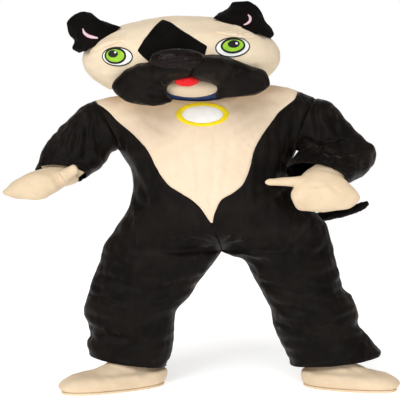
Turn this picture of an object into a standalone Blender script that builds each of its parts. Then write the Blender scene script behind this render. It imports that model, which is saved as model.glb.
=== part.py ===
"""Dog mascot costume, worn: plush jumpsuit with a pale chest, hollow dog head, mitts, shoe covers, collar and tail.

Heights are measured from the ground; the parent empty then lowers everything so that the origin lies
where the wearer carries the costume, at the neck between the shoulders. The costume looks along -Y,
+X is the wearer's left, and right and left in names are the wearer's own.
"""

import math
from collections import namedtuple
from functools import lru_cache

import bmesh
import bpy
from mathutils import Matrix, Vector

SHOULDER_HEIGHT = 1.32
CLOTH = 0.0025
FOAM = 0.006
SEAM = 0.0003
RIGHT, LEFT = -1, 1
FRONT, BACK = -1, 1
UP = Vector((0, 0, 1))
NORMAL_STEP = 0.002


def table(columns, *rows):
    row = namedtuple("Row", columns)
    return [row(*values) for values in rows]


def smooth(share):
    share = min(1.0, max(0.0, share))
    return share * share * (3 - 2 * share)


def mix(a, b, share):
    return a + (b - a) * share


def read(rows, at):
    """The table's row at any value of its first column, by a cubic curve that never overshoots."""
    kind = type(rows[0])
    keys = [row[0] for row in rows]
    if at <= keys[0]:
        return rows[0]
    if at >= keys[-1]:
        return rows[-1]
    k = max(i for i in range(len(keys) - 1) if keys[i] <= at)
    width = keys[k + 1] - keys[k]
    share = (at - keys[k]) / width
    values = [at]
    for column in range(1, len(rows[0])):
        steps = [
            (rows[i + 1][column] - rows[i][column]) / (keys[i + 1] - keys[i])
            for i in range(len(rows) - 1)
        ]

        def slope(i):
            before, after = steps[max(i - 1, 0)], steps[min(i, len(steps) - 1)]
            return 2 * before * after / (before + after) if before * after > 0 else 0.0

        a, b = rows[k][column], rows[k + 1][column]
        square, cube = share**2, share**3
        values.append(
            a * (2 * cube - 3 * square + 1)
            + b * (3 * square - 2 * cube)
            + width * (slope(k) * (cube - 2 * square + share) + slope(k + 1) * (cube - square))
        )
    return kind(*values)


# Jumpsuit sizes

UNDERARM = 1.089
CROTCH = 0.615
SEAT = 0.72
CHEST_TIP = 0.767
NECKLINE_SHARE = 0.34

TORSO = table(
    "height right left centre front back",
    (0.615, -0.452, 0.617, 0.099, 0.170, 0.190),
    (0.670, -0.419, 0.600, 0.085, 0.190, 0.205),
    (0.744, -0.377, 0.582, 0.060, 0.208, 0.205),
    (0.800, -0.338, 0.530, 0.047, 0.218, 0.190),
    (0.854, -0.317, 0.475, 0.036, 0.222, 0.172),
    (0.928, -0.306, 0.425, 0.028, 0.220, 0.160),
    (1.000, -0.318, 0.410, 0.020, 0.214, 0.165),
    (1.089, -0.377, 0.442, 0.020, 0.200, 0.175),
)
LEG = {
    RIGHT: table(
        "height inner outer middle depth",
        (0.125, -0.155, -0.515, -0.005, 0.140),
        (0.165, -0.134, -0.524, -0.005, 0.138),
        (0.215, -0.125, -0.509, -0.005, 0.136),
        (0.270, -0.120, -0.513, -0.010, 0.142),
        (0.335, -0.112, -0.536, -0.015, 0.152),
        (0.413, -0.046, -0.520, -0.010, 0.158),
        (0.450, -0.023, -0.509, -0.005, 0.158),
        (0.486, 0.003, -0.499, 0.000, 0.162),
        (0.560, 0.060, -0.468, 0.005, 0.172),
        (0.615, 0.0985, -0.452, 0.010, 0.180),
    ),
    LEFT: table(
        "height inner outer middle depth",
        (0.125, 0.420, 0.840, -0.005, 0.145),
        (0.165, 0.400, 0.812, -0.005, 0.138),
        (0.229, 0.363, 0.768, -0.005, 0.140),
        (0.280, 0.341, 0.733, -0.010, 0.146),
        (0.339, 0.331, 0.728, -0.012, 0.152),
        (0.413, 0.294, 0.698, -0.010, 0.156),
        (0.450, 0.276, 0.660, -0.005, 0.156),
        (0.523, 0.235, 0.644, 0.000, 0.160),
        (0.560, 0.221, 0.630, 0.005, 0.165),
        (0.590, 0.185, 0.623, 0.008, 0.172),
        (0.615, 0.0995, 0.617, 0.010, 0.178),
    ),
}
HEM_SLOPE = {RIGHT: -0.15, LEFT: 0.11}
HEM_SLOPE_TOP = 0.30

# Where the pale chest ends and the black fronts begin, seen from the front.
CHEST_EDGE = table(
    "height right left",
    (0.767, 0.048, 0.056),
    (0.798, 0.027, 0.061),
    (0.833, 0.003, 0.074),
    (0.869, -0.035, 0.093),
    (0.904, -0.093, 0.151),
    (0.940, -0.146, 0.191),
    (1.011, -0.195, 0.222),
    (1.082, -0.231, 0.239),
    (1.152, -0.293, 0.275),
    (1.223, -0.377, 0.328),
    (1.259, -0.410, 0.355),
    (1.294, -0.460, 0.398),
    (1.320, -0.530, 0.430),
    (1.360, -0.600, 0.450),
)

SHOULDER = {RIGHT: Vector((-0.500, 0.010, 1.306)), LEFT: Vector((0.530, 0.010, 1.322))}
SHOULDER_RISE = {RIGHT: 0.020, LEFT: 0.036}
NECK_SIDE = {RIGHT: Vector((-0.165, 0.020, 1.330)), LEFT: Vector((0.165, 0.020, 1.365))}
NECK_DEPTH = {FRONT: 0.135, BACK: 0.105}
NECK_HEIGHT = {FRONT: 1.308, BACK: 1.338}
ARMHOLE_BOW = {FRONT: 0.105, BACK: 0.095}
ARMHOLE_INWARD = 0.025

# Soft creases and drag lines in the cloth, as lines seen from the front or the back.
CREASES = table(
    "face x0 z0 x1 z1 width depth",
    (FRONT, 0.160, 0.650, 0.340, 0.800, 0.035, -0.020),
    (FRONT, 0.200, 0.640, 0.480, 0.745, 0.040, 0.012),
    (FRONT, -0.020, 0.830, -0.005, 1.130, 0.028, -0.006),
    (FRONT, 0.095, 0.860, 0.080, 1.120, 0.030, -0.006),
    (FRONT, -0.420, 0.700, -0.330, 0.880, 0.030, 0.007),
    (FRONT, -0.460, 0.480, -0.060, 0.560, 0.032, -0.007),
    (FRONT, -0.380, 0.400, -0.020, 0.470, 0.032, -0.006),
    (FRONT, 0.230, 0.560, 0.520, 0.600, 0.030, -0.008),
    (FRONT, 0.330, 0.400, 0.640, 0.470, 0.035, -0.008),
    (FRONT, 0.420, 0.235, 0.720, 0.275, 0.030, -0.006),
    (FRONT, -0.450, 0.250, -0.180, 0.240, 0.030, -0.006),
    (BACK, -0.250, 0.860, 0.350, 0.845, 0.045, -0.012),
    (BACK, -0.260, 0.930, 0.340, 0.940, 0.045, -0.009),
    (BACK, 0.090, 0.640, 0.420, 0.560, 0.035, -0.010),
    (BACK, 0.080, 0.640, -0.300, 0.550, 0.035, -0.010),
    (BACK, -0.420, 0.380, -0.080, 0.360, 0.038, -0.010),
    (BACK, 0.340, 0.390, 0.680, 0.350, 0.038, -0.010),
    (BACK, -0.250, 1.020, -0.150, 1.230, 0.035, -0.008),
    (BACK, 0.320, 1.020, 0.220, 1.230, 0.035, -0.008),
)


def crease_depth(face, x, z):
    """How far the creases push the cloth out (or in, below nought) at a place seen from the front or back."""
    total = 0.0
    for crease in CREASES:
        if crease.face != face:
            continue
        ax, az = crease.x1 - crease.x0, crease.z1 - crease.z0
        along = ((x - crease.x0) * ax + (z - crease.z0) * az) / (ax * ax + az * az)
        inside = min(1.0, max(0.0, along))
        away = math.hypot(x - crease.x0 - ax * inside, z - crease.z0 - az * inside)
        total += crease.depth * math.sin(math.pi * (0.1 + 0.8 * inside)) * math.exp(-((away / crease.width) ** 2))
    return total


def half_ring(side, face, share, height):
    """The jumpsuit below the underarm: a quarter of the body above the crotch, half a leg below it."""
    body = read(TORSO, height)
    leg = read(LEG[side], height)
    edge = body.left if side == LEFT else body.right
    depth = body.front if face == FRONT else body.back
    turn = share * math.pi / 2
    round_off = 0.86
    body_x = mix(body.centre, edge, math.sin(turn) ** round_off)
    body_y = face * depth * math.cos(turn) ** round_off
    middle = (leg.inner + leg.outer) / 2
    leg_x = middle + (leg.inner - middle) * math.cos(math.pi * share)
    leg_y = leg.middle + face * leg.depth * math.sin(math.pi * share) ** 0.9
    legness = min(1.0, max(0.0, (SEAT - height) / (SEAT - CROTCH))) ** 1.8
    slope = HEM_SLOPE[side] * smooth((HEM_SLOPE_TOP - height) / (HEM_SLOPE_TOP - 0.125))
    x = mix(body_x, leg_x, legness)
    fold = face * crease_depth(face, x, height) * math.sin(math.pi * min(1.0, share * (2 - legness)) / 2)
    if legness > 0.5:
        fold *= math.sin(math.pi * share)
    else:
        fold *= math.cos(turn) if share > 0.5 else 1.0
    return Vector((x, mix(body_y, leg_y, legness) + fold, height + slope * (leg_x - middle)))


def top_edge(side, face, share):
    """The neckline, and from NECKLINE_SHARE on the shoulder seam."""
    if share >= NECKLINE_SHARE:
        along = (share - NECKLINE_SHARE) / (1 - NECKLINE_SHARE)
        return NECK_SIDE[side].lerp(SHOULDER[side], along) + UP * SHOULDER_RISE[side] * math.sin(math.pi * along)
    turn = share / NECKLINE_SHARE * math.pi / 2
    corner = NECK_SIDE[side]
    return Vector(
        (
            corner.x * math.sin(turn),
            mix(corner.y, corner.y + face * NECK_DEPTH[face], math.cos(turn)),
            mix(NECK_HEIGHT[face], corner.z, 1 - math.cos(turn)),
        )
    )


def armhole(side, face, rise):
    """The armhole edge from the underarm, rise 0, to the shoulder point, rise 1."""
    low = half_ring(side, face, 1.0, UNDERARM)
    high = SHOULDER[side]
    bow = math.sin(math.pi * rise)
    along = (1 - math.cos(math.pi * rise)) / 2
    return Vector(
        (
            mix(low.x, high.x, along) - side * ARMHOLE_INWARD * bow,
            mix(low.y, high.y, along) + face * ARMHOLE_BOW[face] * bow,
            mix(low.z, high.z, along),
        )
    )


def yoke(side, face, share, rise):
    """The jumpsuit above the underarm, rolling back over the chest to the neckline and shoulder seam."""
    low, high = half_ring(side, face, share, UNDERARM), top_edge(side, face, share)

    def roll(a, b):
        turn = rise * math.pi / 2
        return Vector(
            (
                mix(a.x, b.x, rise),
                mix(b.y, a.y, math.cos(turn) ** 0.9),
                mix(a.z, b.z, math.sin(turn) ** 1.15),
            )
        )

    straight = roll(half_ring(side, face, 1.0, UNDERARM), top_edge(side, face, 1.0))
    place = roll(low, high) + (armhole(side, face, rise) - straight) * share**3
    place.y += face * crease_depth(face, place.x, place.z) * (1 - share) * math.sin(math.pi * rise)
    return place


def jumpsuit(side, face, share, level):
    """A point of the outer cloth. level is a height up to the underarm; above it, 1 m is the whole yoke."""
    if level <= UNDERARM:
        return half_ring(side, face, share, level)
    return yoke(side, face, share, min(1.0, level - UNDERARM))


def outward(surface, share, level):
    """The cloth's outward direction, from the surface a little way off on each side."""
    low, high = max(0.0, share - NORMAL_STEP), min(1.0, share + NORMAL_STEP)
    bottom = level - NORMAL_STEP
    top = min(UNDERARM + 1.0, level + NORMAL_STEP)
    if bottom < UNDERARM < top:
        bottom, top = (bottom, UNDERARM) if level < UNDERARM else (UNDERARM, top)
    across = surface(high, level) - surface(low, level)
    along = surface(share, top) - surface(share, bottom)
    normal = across.cross(along).normalized()
    return normal


# Meshes


def make_object(name, mesh, colour, roughness=0.9, parent=None):
    bmesh.ops.recalc_face_normals(mesh, faces=mesh.faces)
    if mesh.calc_volume(signed=True) < 0:
        bmesh.ops.reverse_faces(mesh, faces=mesh.faces)
    data = bpy.data.meshes.new(name)
    mesh.to_mesh(data)
    mesh.free()
    data.shade_smooth()
    data.set_sharp_from_angle(angle=math.radians(50))
    thing = bpy.data.objects.new(name, data)
    bpy.context.scene.collection.objects.link(thing)
    data.materials.append(finish(colour, roughness))
    thing.parent = bpy.data.objects["wearer_shoulders"]
    return thing


COLOURS = {
    "black_plush": (0.012, 0.010, 0.009),
    "cream_plush": (0.80, 0.66, 0.48),
    "blue_satin": (0.012, 0.045, 0.22),
    "yellow_felt": (0.90, 0.72, 0.03),
    "white_felt": (0.88, 0.86, 0.80),
    "green_felt": (0.28, 0.58, 0.05),
    "red_felt": (0.72, 0.01, 0.02),
    "pink_satin": (0.75, 0.42, 0.46),
    "black_vinyl": (0.006, 0.006, 0.006),
    "black_felt": (0.01, 0.01, 0.01),
}


def finish(colour, roughness):
    found = bpy.data.materials.get(colour)
    if found:
        return found
    made = bpy.data.materials.new(colour)
    made.use_nodes = True
    shader = made.node_tree.nodes["Principled BSDF"]
    shader.inputs["Base Color"].default_value = (*COLOURS[colour], 1)
    shader.inputs["Roughness"].default_value = roughness
    shader.inputs["Metallic"].default_value = 0.0
    return made


def split_quad(mesh, a, b, c, d):
    """Two triangles along the same diagonal wherever a grid is used, so that layers over it fit."""
    mesh.faces.new((a, b, c))
    mesh.faces.new((a, c, d))


def wall(name, outer, inner, colour, wrap=False, tips=None, roughness=0.9):
    """A closed wall between two matching grids of points. wrap joins the last column to the first;
    tips, an outer and an inner point, close the last row instead of leaving it open."""
    mesh = bmesh.new()
    grids = [[[mesh.verts.new(p) for p in row] for row in grid] for grid in (outer, inner)]
    rows, columns = len(outer), len(outer[0])
    last = columns if wrap else columns - 1
    for grid in grids:
        for r in range(rows - 1):
            for c in range(last):
                d = (c + 1) % columns
                split_quad(mesh, grid[r][c], grid[r][d], grid[r + 1][d], grid[r + 1][c])
    out, inn = grids
    for r in (0,) if tips else (0, rows - 1):
        for c in range(last):
            d = (c + 1) % columns
            mesh.faces.new((out[r][c], out[r][d], inn[r][d], inn[r][c]))
    if not wrap:
        for c in (0, columns - 1):
            for r in range(rows - 1):
                mesh.faces.new((out[r][c], out[r + 1][c], inn[r + 1][c], inn[r][c]))
    if tips:
        ends = []
        for grid, tip in zip(grids, tips):
            point = mesh.verts.new(tip)
            for c in range(last):
                mesh.faces.new((grid[-1][c], grid[-1][(c + 1) % columns], point))
            ends.append(point)
        for c in () if wrap else (0, columns - 1):
            mesh.faces.new((out[-1][c], ends[0], ends[1], inn[-1][c]))
    return make_object(name, mesh, colour, roughness)


def closed_tube(name, rings, colour, roughness=0.9):
    """A stuffed form: rings joined one to the next, with a flat cap on each end."""
    mesh = bmesh.new()
    loops = [[mesh.verts.new(p) for p in ring] for ring in rings]
    count = len(rings[0])
    for a, b in zip(loops, loops[1:]):
        for c in range(count):
            d = (c + 1) % count
            split_quad(mesh, a[c], a[d], b[d], b[c])
    mesh.faces.new(loops[0])
    mesh.faces.new(loops[-1])
    return make_object(name, mesh, colour, roughness)


def ring_normals(rings):
    """Outward directions of a tube's points, from their neighbours round and along the tube."""
    directions = []
    for r, ring in enumerate(rings):
        middle = sum(ring, Vector()) / len(ring)
        before, after = rings[max(r - 1, 0)], rings[min(r + 1, len(rings) - 1)]
        row = []
        for c, point in enumerate(ring):
            around = ring[(c + 1) % len(ring)] - ring[c - 1]
            normal = around.cross(after[c] - before[c]).normalized()
            row.append(normal if normal.dot(point - middle) > 0 else -normal)
        directions.append(row)
    return directions


def moved(rows, directions, distance):
    return [[p + n * distance for p, n in zip(a, b)] for a, b in zip(rows, directions)]


# Jumpsuit panels

LOWER_LEVELS = (
    [0.112, 0.145, 0.18, 0.22, 0.265, 0.305, 0.345, 0.385, 0.425, 0.465, 0.505, 0.545, 0.58, 0.60, CROTCH]
    + [0.635, 0.66, 0.69, 0.725, CHEST_TIP, 0.80, 0.835, 0.87, 0.905, 0.94, 0.975, 1.01, 1.05, UNDERARM]
)
YOKE_ROWS = 8
RISES = [i / YOKE_ROWS for i in range(YOKE_ROWS + 1)]
LEVELS = LOWER_LEVELS + [UNDERARM + rise for rise in RISES[1:]]
FRONT_SHARES = [c / 7 for c in range(8)]
NECK_COLUMNS = 4
BACK_SHARES = [NECKLINE_SHARE * c / NECK_COLUMNS for c in range(NECK_COLUMNS)] + [NECKLINE_SHARE, 0.5, 0.66, 0.83, 1.0]
CHEST_SIDE_COLUMNS = 3


@lru_cache(maxsize=None)
def chest_share(side, level):
    """How far round from the centre line the pale chest reaches, at a level."""
    if level < CHEST_TIP:
        return 0.0
    low, high = 0.0, 0.965
    for _ in range(40):
        middle = (low + high) / 2
        place = jumpsuit(side, FRONT, middle, level)
        edge = read(CHEST_EDGE, place.z)
        edge_x = edge.left if side == LEFT else edge.right
        if (place.x - edge_x) * side < 0:
            low = middle
        else:
            high = middle
    return low


def panel(name, places, colour, trims):
    """A cloth panel through (side, face, share, level) places. trims says, for each edge, which way it faces
    a seam: half a seam's gap is taken off there, and the wall stands square to the seam."""
    outer, normals = [], []
    for row in places:
        points, directions = [], []
        for side, face, share, level in row:
            points.append(jumpsuit(side, face, share, level))
            direction = outward(lambda s, l: jumpsuit(side, face, s, l), share, level)
            if share == 1.0 and level >= UNDERARM:
                rise = RISES[round((level - UNDERARM) * YOKE_ROWS)]
                directions.append(armhole_mitres(side)[(face, rise)].copy())
            else:
                directions.append(direction * side * -face)
        outer.append(points)
        normals.append(directions)
    last_row, last_column = len(outer) - 1, len(outer[0]) - 1
    for r, row in enumerate(outer):
        for c, point in enumerate(row):
            for edge, (axis, amount) in trims.items():
                on_edge = {
                    "bottom": r == 0,
                    "top": r == last_row,
                    "first": c == 0,
                    "last": c == last_column,
                }[edge]
                if not on_edge:
                    continue
                if axis is not None:
                    length = normals[r][c].length
                    normals[r][c] = (normals[r][c] - axis * normals[r][c].dot(axis)).normalized() * length
                inside = outer[r][1 if c == 0 else c - 1] if edge in ("first", "last") else outer[1 if r == 0 else r - 1][c]
                row[c] = row[c] + (inside - row[c]).normalized() * amount
    return wall(name, outer, moved(outer, normals, -CLOTH), colour)


EAST, SOUTH = Vector((1, 0, 0)), Vector((0, 1, 0))


def front_panel(name, side):
    """The black front of one side, from the hem of the leg up to a narrow end at the shoulder."""
    places = []
    for level in LEVELS:
        start = chest_share(side, level)
        places.append([(side, FRONT, mix(start, 1.0, share), level) for share in FRONT_SHARES])
    gap = SEAM / 2
    return panel(name, places, "black_plush", {"first": (None, gap), "last": (None, gap), "top": (SOUTH, gap)})


def back_panel(name, side):
    places = []
    for level in LEVELS:
        places.append([(side, BACK, share, level) for share in BACK_SHARES])
    gap = SEAM / 2
    return panel(name, places, "black_plush", {"first": (None, gap), "last": (None, gap), "top": (SOUTH, gap)})


def chest_panel():
    places = []
    for level in [level for level in LEVELS if level >= CHEST_TIP]:
        row = []
        for side in (RIGHT, LEFT):
            edge = chest_share(side, level) / chest_share(side, LEVELS[-1])
            end = chest_share(side, LEVELS[-1])
            shares = [NECKLINE_SHARE * c / NECK_COLUMNS for c in range(NECK_COLUMNS)]
            shares += [mix(NECKLINE_SHARE, end, c / CHEST_SIDE_COLUMNS) for c in range(CHEST_SIDE_COLUMNS + 1)]
            shares = [share * edge for share in shares]
            if side == RIGHT:
                row += [(side, FRONT, s, level) for s in reversed(shares)]
            else:
                row += [(side, FRONT, s, level) for s in shares[1:]]
        places.append(row)
    gap = SEAM / 2
    return panel("chest_front", places, "cream_plush", {"first": (None, gap), "last": (None, gap), "top": (SOUTH, gap)})


# Sleeves

# Each row is one ring: its middle, half its width toward the outside of the arm, and half its depth
# toward the front. The first ring is the armhole itself.
ARM_COLUMNS = "x y z out_x out_y out_z front_x front_y front_z"
ARM = {
    RIGHT: table(
        ARM_COLUMNS,
        (-0.4875, -0.008, 1.1655, -0.0790, 0.0, 0.0935, 0.0, -0.105, 0.000),
        (-0.5345, -0.020, 1.108, -0.1045, 0.0, 0.0780, 0.0, -0.113, 0.010),
        (-0.5870, -0.040, 1.054, -0.1170, 0.0, 0.0585, 0.0, -0.110, 0.025),
        (-0.6100, -0.052, 1.018, -0.1180, 0.0, 0.0340, 0.0, -0.102, 0.036),
        (-0.6180, -0.057, 1.005, -0.1180, 0.0, 0.0250, 0.0, -0.098, 0.038),
        (-0.6320, -0.065, 0.980, -0.1170, 0.0, 0.0100, 0.0, -0.090, 0.042),
    ),
    LEFT: table(
        ARM_COLUMNS,
        (0.5340, -0.005, 1.188, 0.066, 0.000, 0.114, 0.000, -0.103, 0.000),
        (0.5730, -0.008, 1.143, 0.0950, 0.000, 0.082, 0.005, -0.108, 0.010),
        (0.6080, -0.010, 1.103, 0.130, 0.010, 0.041, 0.014, -0.100, 0.030),
        (0.6290, -0.018, 1.066, 0.172, 0.034, 0.012, 0.020, -0.082, 0.058),
        (0.6040, -0.075, 1.022, 0.172, 0.010, -0.017, 0.016, -0.062, 0.068),
        (0.5700, -0.132, 1.000, 0.147, -0.017, -0.024, 0.015, -0.052, 0.060),
        (0.5480, -0.160, 0.989, 0.131, -0.024, -0.025, 0.014, -0.047, 0.055),
        (0.5400, -0.169, 0.985, 0.127, -0.026, -0.025, 0.014, -0.045, 0.054),
        (0.5240, -0.190, 0.976, 0.117, -0.030, -0.025, 0.013, -0.041, 0.051),
    ),
}
HEM_BAND = 0.0018
UNDERARM_GAP = 0.0018
HEM_BAND_STEP = 0.0012


def armhole_places(side):
    """The armhole's points round the arm: up the front from the underarm, and down the back."""
    return [(FRONT, rise) for rise in RISES] + [(BACK, rise) for rise in reversed(RISES[1:-1])]


def oval_ring(side, row):
    """A ring of the arm at one table row, its points in the armhole's order."""
    middle = Vector((row.x, row.y, row.z))
    out = Vector((row.out_x, row.out_y, row.out_z))
    front = Vector((row.front_x, row.front_y, row.front_z))
    points = []
    for face, rise in armhole_places(side):
        turn = math.pi * rise
        points.append(middle - out * math.cos(turn) - front * face * math.sin(turn))
    return points


def sleeve_rings(side):
    first = [armhole(side, face, rise) for face, rise in armhole_places(side)]
    return [first] + [oval_ring(side, row) for row in ARM[side]]


@lru_cache(maxsize=None)
def armhole_mitres(side):
    """By face and rise, the way from the cloth's inner to its outer edge at the armhole seam. It halves the
    angle between the body and the sleeve, so that their walls meet along it."""
    normals = []
    for face, rise in armhole_places(side):
        level = UNDERARM + rise
        faces = (FRONT, BACK) if rise in (0.0, 1.0) else (face,)
        found = [outward(lambda s, l: jumpsuit(side, f, s, l), 1.0, level) * side * -f for f in faces]
        direction = sum(found, Vector()).normalized()
        if rise in (0.0, 1.0):
            direction = (direction - SOUTH * direction.dot(SOUTH)).normalized()
        normals.append(direction)
    mitres = {}
    for place, body, arm in zip(armhole_places(side), normals, ring_normals(sleeve_rings(side))[0]):
        mitres[place] = (body + arm) / max(0.8, 1 + body.dot(arm))
    for rise in (0.0, 1.0):
        edge = mitres[(FRONT, rise)]
        mitres[(FRONT, rise)] = mitres[(BACK, rise)] = edge - SOUTH * edge.dot(SOUTH)
    return mitres


def sleeve(name, side):
    """A sleeve from its armhole seam to a turned hem, which is thicker."""
    rings = sleeve_rings(side)
    normals = ring_normals(rings)
    normals[0] = [armhole_mitres(side)[place] for place in armhole_places(side)]
    for number, (face, rise) in enumerate(armhole_places(side)):
        way = (rings[1][number] - rings[0][number]).normalized() + UP * max(0.0, 1 - rise / 0.3) * 0.4
        rings[0][number] += way * (SEAM + UNDERARM_GAP * max(0.0, 1 - rise / 0.3))
    band_from = len(rings) - 3
    outer, inner = [], []
    for number, (ring, direction) in enumerate(zip(rings, normals)):
        plain = list(ring)
        under = [p - n * CLOTH for p, n in zip(ring, direction)]
        if number == band_from:
            outer.append(plain)
            inner.append(under)
            following = rings[number + 1]
            outer.append([
                p + (q - p).normalized() * HEM_BAND_STEP + n * HEM_BAND
                for p, q, n in zip(ring, following, direction)
            ])
            inner.append([p + (q - p).normalized() * HEM_BAND_STEP for p, q in zip(under, following)])
        elif number > band_from:
            outer.append([p + n * HEM_BAND for p, n in zip(ring, direction)])
            inner.append(under)
        else:
            outer.append(plain)
            inner.append(under)
    return wall(name, outer, inner, "black_plush", wrap=True)


# Mitts: rings as on the arm, from a cuff inside the sleeve to the closed finger end.
MITT = {
    RIGHT: table(
        ARM_COLUMNS,
        (-0.622, -0.072, 0.990, -0.085, 0.00, 0.012, 0.00, -0.060, 0.034),
        (-0.648, -0.130, 0.968, -0.098, 0.00, 0.014, 0.00, -0.046, 0.036),
        (-0.6875, -0.178, 0.955, -0.0860, 0.00, 0.024, 0.00, -0.055, 0.024),
        (-0.735, -0.200, 0.928, -0.082, 0.00, 0.032, 0.00, -0.056, 0.010),
        (-0.778, -0.208, 0.900, -0.078, 0.00, 0.027, 0.00, -0.047, 0.004),
        (-0.809, -0.211, 0.884, -0.067, 0.00, 0.014, 0.00, -0.028, 0.000),
    ),
    LEFT: table(
        ARM_COLUMNS,
        (0.545, -0.196, 0.971, 0.080, -0.026, -0.020, 0.010, -0.032, 0.040),
        (0.550, -0.226, 0.955, 0.106, -0.014, -0.018, 0.008, -0.046, 0.034),
        (0.554, -0.248, 0.928, 0.132, 0.000, -0.012, 0.004, -0.055, 0.012),
        (0.552, -0.252, 0.895, 0.152, 0.000, -0.004, 0.000, -0.055, 0.004),
        (0.555, -0.252, 0.862, 0.143, 0.000, 0.004, 0.000, -0.050, 0.000),
        (0.548, -0.250, 0.832, 0.112, 0.000, 0.004, 0.000, -0.034, 0.000),
    ),
}
MITT_TIP = {RIGHT: Vector((-0.826, -0.212, 0.874)), LEFT: Vector((0.545, -0.249, 0.816))}
THUMB = {
    RIGHT: (Vector((-0.545, -0.185, 1.012)), Vector((-0.615, -0.190, 0.970)), 0.022, 0.030),
    LEFT: (Vector((0.285, -0.255, 0.951)), Vector((0.475, -0.245, 0.955)), 0.014, 0.026),
}


def mitt(name, side):
    """A hollow mitt: its cuff lies just inside the sleeve, and a thumb stands on the hand."""
    rings = sleeve_rings(side)
    normals = ring_normals(rings)
    tuck = len(rings) - 2
    cuff = [p - n * (CLOTH + SEAM) for p, n in zip(rings[tuck], normals[tuck])]
    hand = [cuff] + [oval_ring(side, row) for row in MITT[side]]
    directions = ring_normals(hand)
    directions[0] = normals[tuck]
    tip = MITT_TIP[side]
    back = (tip - sum(hand[-1], Vector()) / len(hand[-1])).normalized()
    inner = moved(hand, directions, -CLOTH)
    thing = wall(name, hand, inner, "cream_plush", wrap=True, tips=(tip, tip - back * CLOTH))
    end, root, thin, thick = THUMB[side]
    finger = capsule("thumb", end, root, thin, thick)
    carve(thing, ("UNION", finger))
    return thing


def capsule(name, end, root, thin, thick, sides=10):
    """A stuffed finger with a rounded end, thickening to its root."""
    axis = (root - end).normalized()
    one = axis.cross(SOUTH).normalized()
    two = axis.cross(one)
    length = (root - end).length
    rings = []
    for share, size in ((0.0, 0.45), (0.05, 0.8), (0.14, 1.0), (0.5, 1.0), (0.86, 1.0), (1.0, 0.75)):
        radius = mix(thin, thick, share) * size
        centre = end + axis * length * share
        rings.append([
            centre + (one * math.cos(a) + two * math.sin(a)) * radius
            for a in (2 * math.pi * i / sides for i in range(sides))
        ])
    return closed_tube(name, rings, "cream_plush")


def carve(thing, *steps):
    """Cuts, joins or trims an object with others, which are then removed, and keeps the result as its mesh."""
    for operation, tool in steps:
        change = thing.modifiers.new("cut", "BOOLEAN")
        change.operation = operation
        change.object = tool
        change.solver = "EXACT"
    bpy.context.view_layer.update()
    made = bpy.data.meshes.new_from_object(thing.evaluated_get(bpy.context.evaluated_depsgraph_get()))
    thing.modifiers.clear()
    material = thing.data.materials[0]
    thing.data = made
    made.materials.clear()
    made.materials.append(material)
    mesh = bmesh.new()
    mesh.from_mesh(made)
    bmesh.ops.remove_doubles(mesh, verts=mesh.verts, dist=0.00002)
    bmesh.ops.dissolve_degenerate(mesh, edges=mesh.edges, dist=0.00002)
    mesh.to_mesh(made)
    mesh.free()
    made.set_sharp_from_angle(angle=math.radians(50))
    for tool in {tool for _, tool in steps}:
        bpy.data.objects.remove(tool)


# Shoe covers: reach toward the toe and heel from the ankle, half width, and height at toe and heel.
SHOE = table(
    "number toe heel half_width toe_height heel_height",
    (0, 0.318, 0.188, 0.112, 0.012, 0.012),
    (1, 0.330, 0.200, 0.124, 0.037, 0.042),
    (2, 0.282, 0.198, 0.116, 0.068, 0.070),
    (3, 0.182, 0.165, 0.080, 0.086, 0.076),
    (4, 0.088, 0.108, 0.050, 0.120, 0.102),
)
ANKLE = {RIGHT: Vector((-0.340, -0.070, 0)), LEFT: Vector((0.612, -0.055, 0))}
TOE_DIRECTION = {RIGHT: Vector((-0.86, -0.51, 0)), LEFT: Vector((0.92, -0.39, 0))}
SHOE_REACH = {RIGHT: (1.0, 1.0), LEFT: (0.94, 0.72)}
SOLE_THICKNESS = 0.0117
SHOE_TUCK_LEVEL = 0.18


def shoe_turns():
    """The columns round a leg, as (face, share): up the front from the inseam, and back behind."""
    return [(FRONT, share) for share in FRONT_SHARES] + [(BACK, share) for share in reversed(BACK_SHARES[1:-1])]


def shoe_ring(side, row):
    toe = TOE_DIRECTION[side].normalized()
    across = Vector((toe.y, -toe.x, 0))
    if across.y > 0:
        across = -across
    toe_reach, heel_reach = SHOE_REACH[side]
    points = []
    for face, share in shoe_turns():
        turn = math.pi * share
        place = -math.cos(turn)
        reach = row.toe * toe_reach if place > 0 else row.heel * heel_reach
        height = mix(row.heel_height, row.toe_height, (place + 1) / 2)
        width = row.half_width * -face * math.sin(turn) ** 0.85 if 0 < share < 1 else 0.0
        points.append(ANKLE[side] + toe * reach * place + across * width + UP * height)
    return points


def shoe(word, side):
    """A hollow shoe cover: its cuff lies just inside the trouser leg and it stands on a sole."""
    rings = [shoe_ring(side, row) for row in SHOE]
    cuff, cuff_normals = [], []
    for face, share in shoe_turns():
        direction = outward(lambda s, l: jumpsuit(side, face, s, l), share, SHOE_TUCK_LEVEL) * side * -face
        cuff.append(jumpsuit(side, face, share, SHOE_TUCK_LEVEL) - direction * (CLOTH + SEAM))
        cuff_normals.append(direction)
    rings.append(cuff)
    directions = ring_normals(rings)
    directions[-1] = cuff_normals
    directions[0] = [Vector((n.x, n.y, 0)).normalized() for n in directions[0]]
    wall("shoe_upper_" + word, rings, moved(rings, directions, -CLOTH), "cream_plush", wrap=True)
    bottom = [Vector((p.x, p.y, 0.0)) for p in rings[0]]
    top = [Vector((p.x, p.y, SOLE_THICKNESS)) for p in rings[0]]
    closed_tube("shoe_sole_" + word, [bottom, top], "cream_plush")


# Collar, head shell and what is sewn on it.

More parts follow.
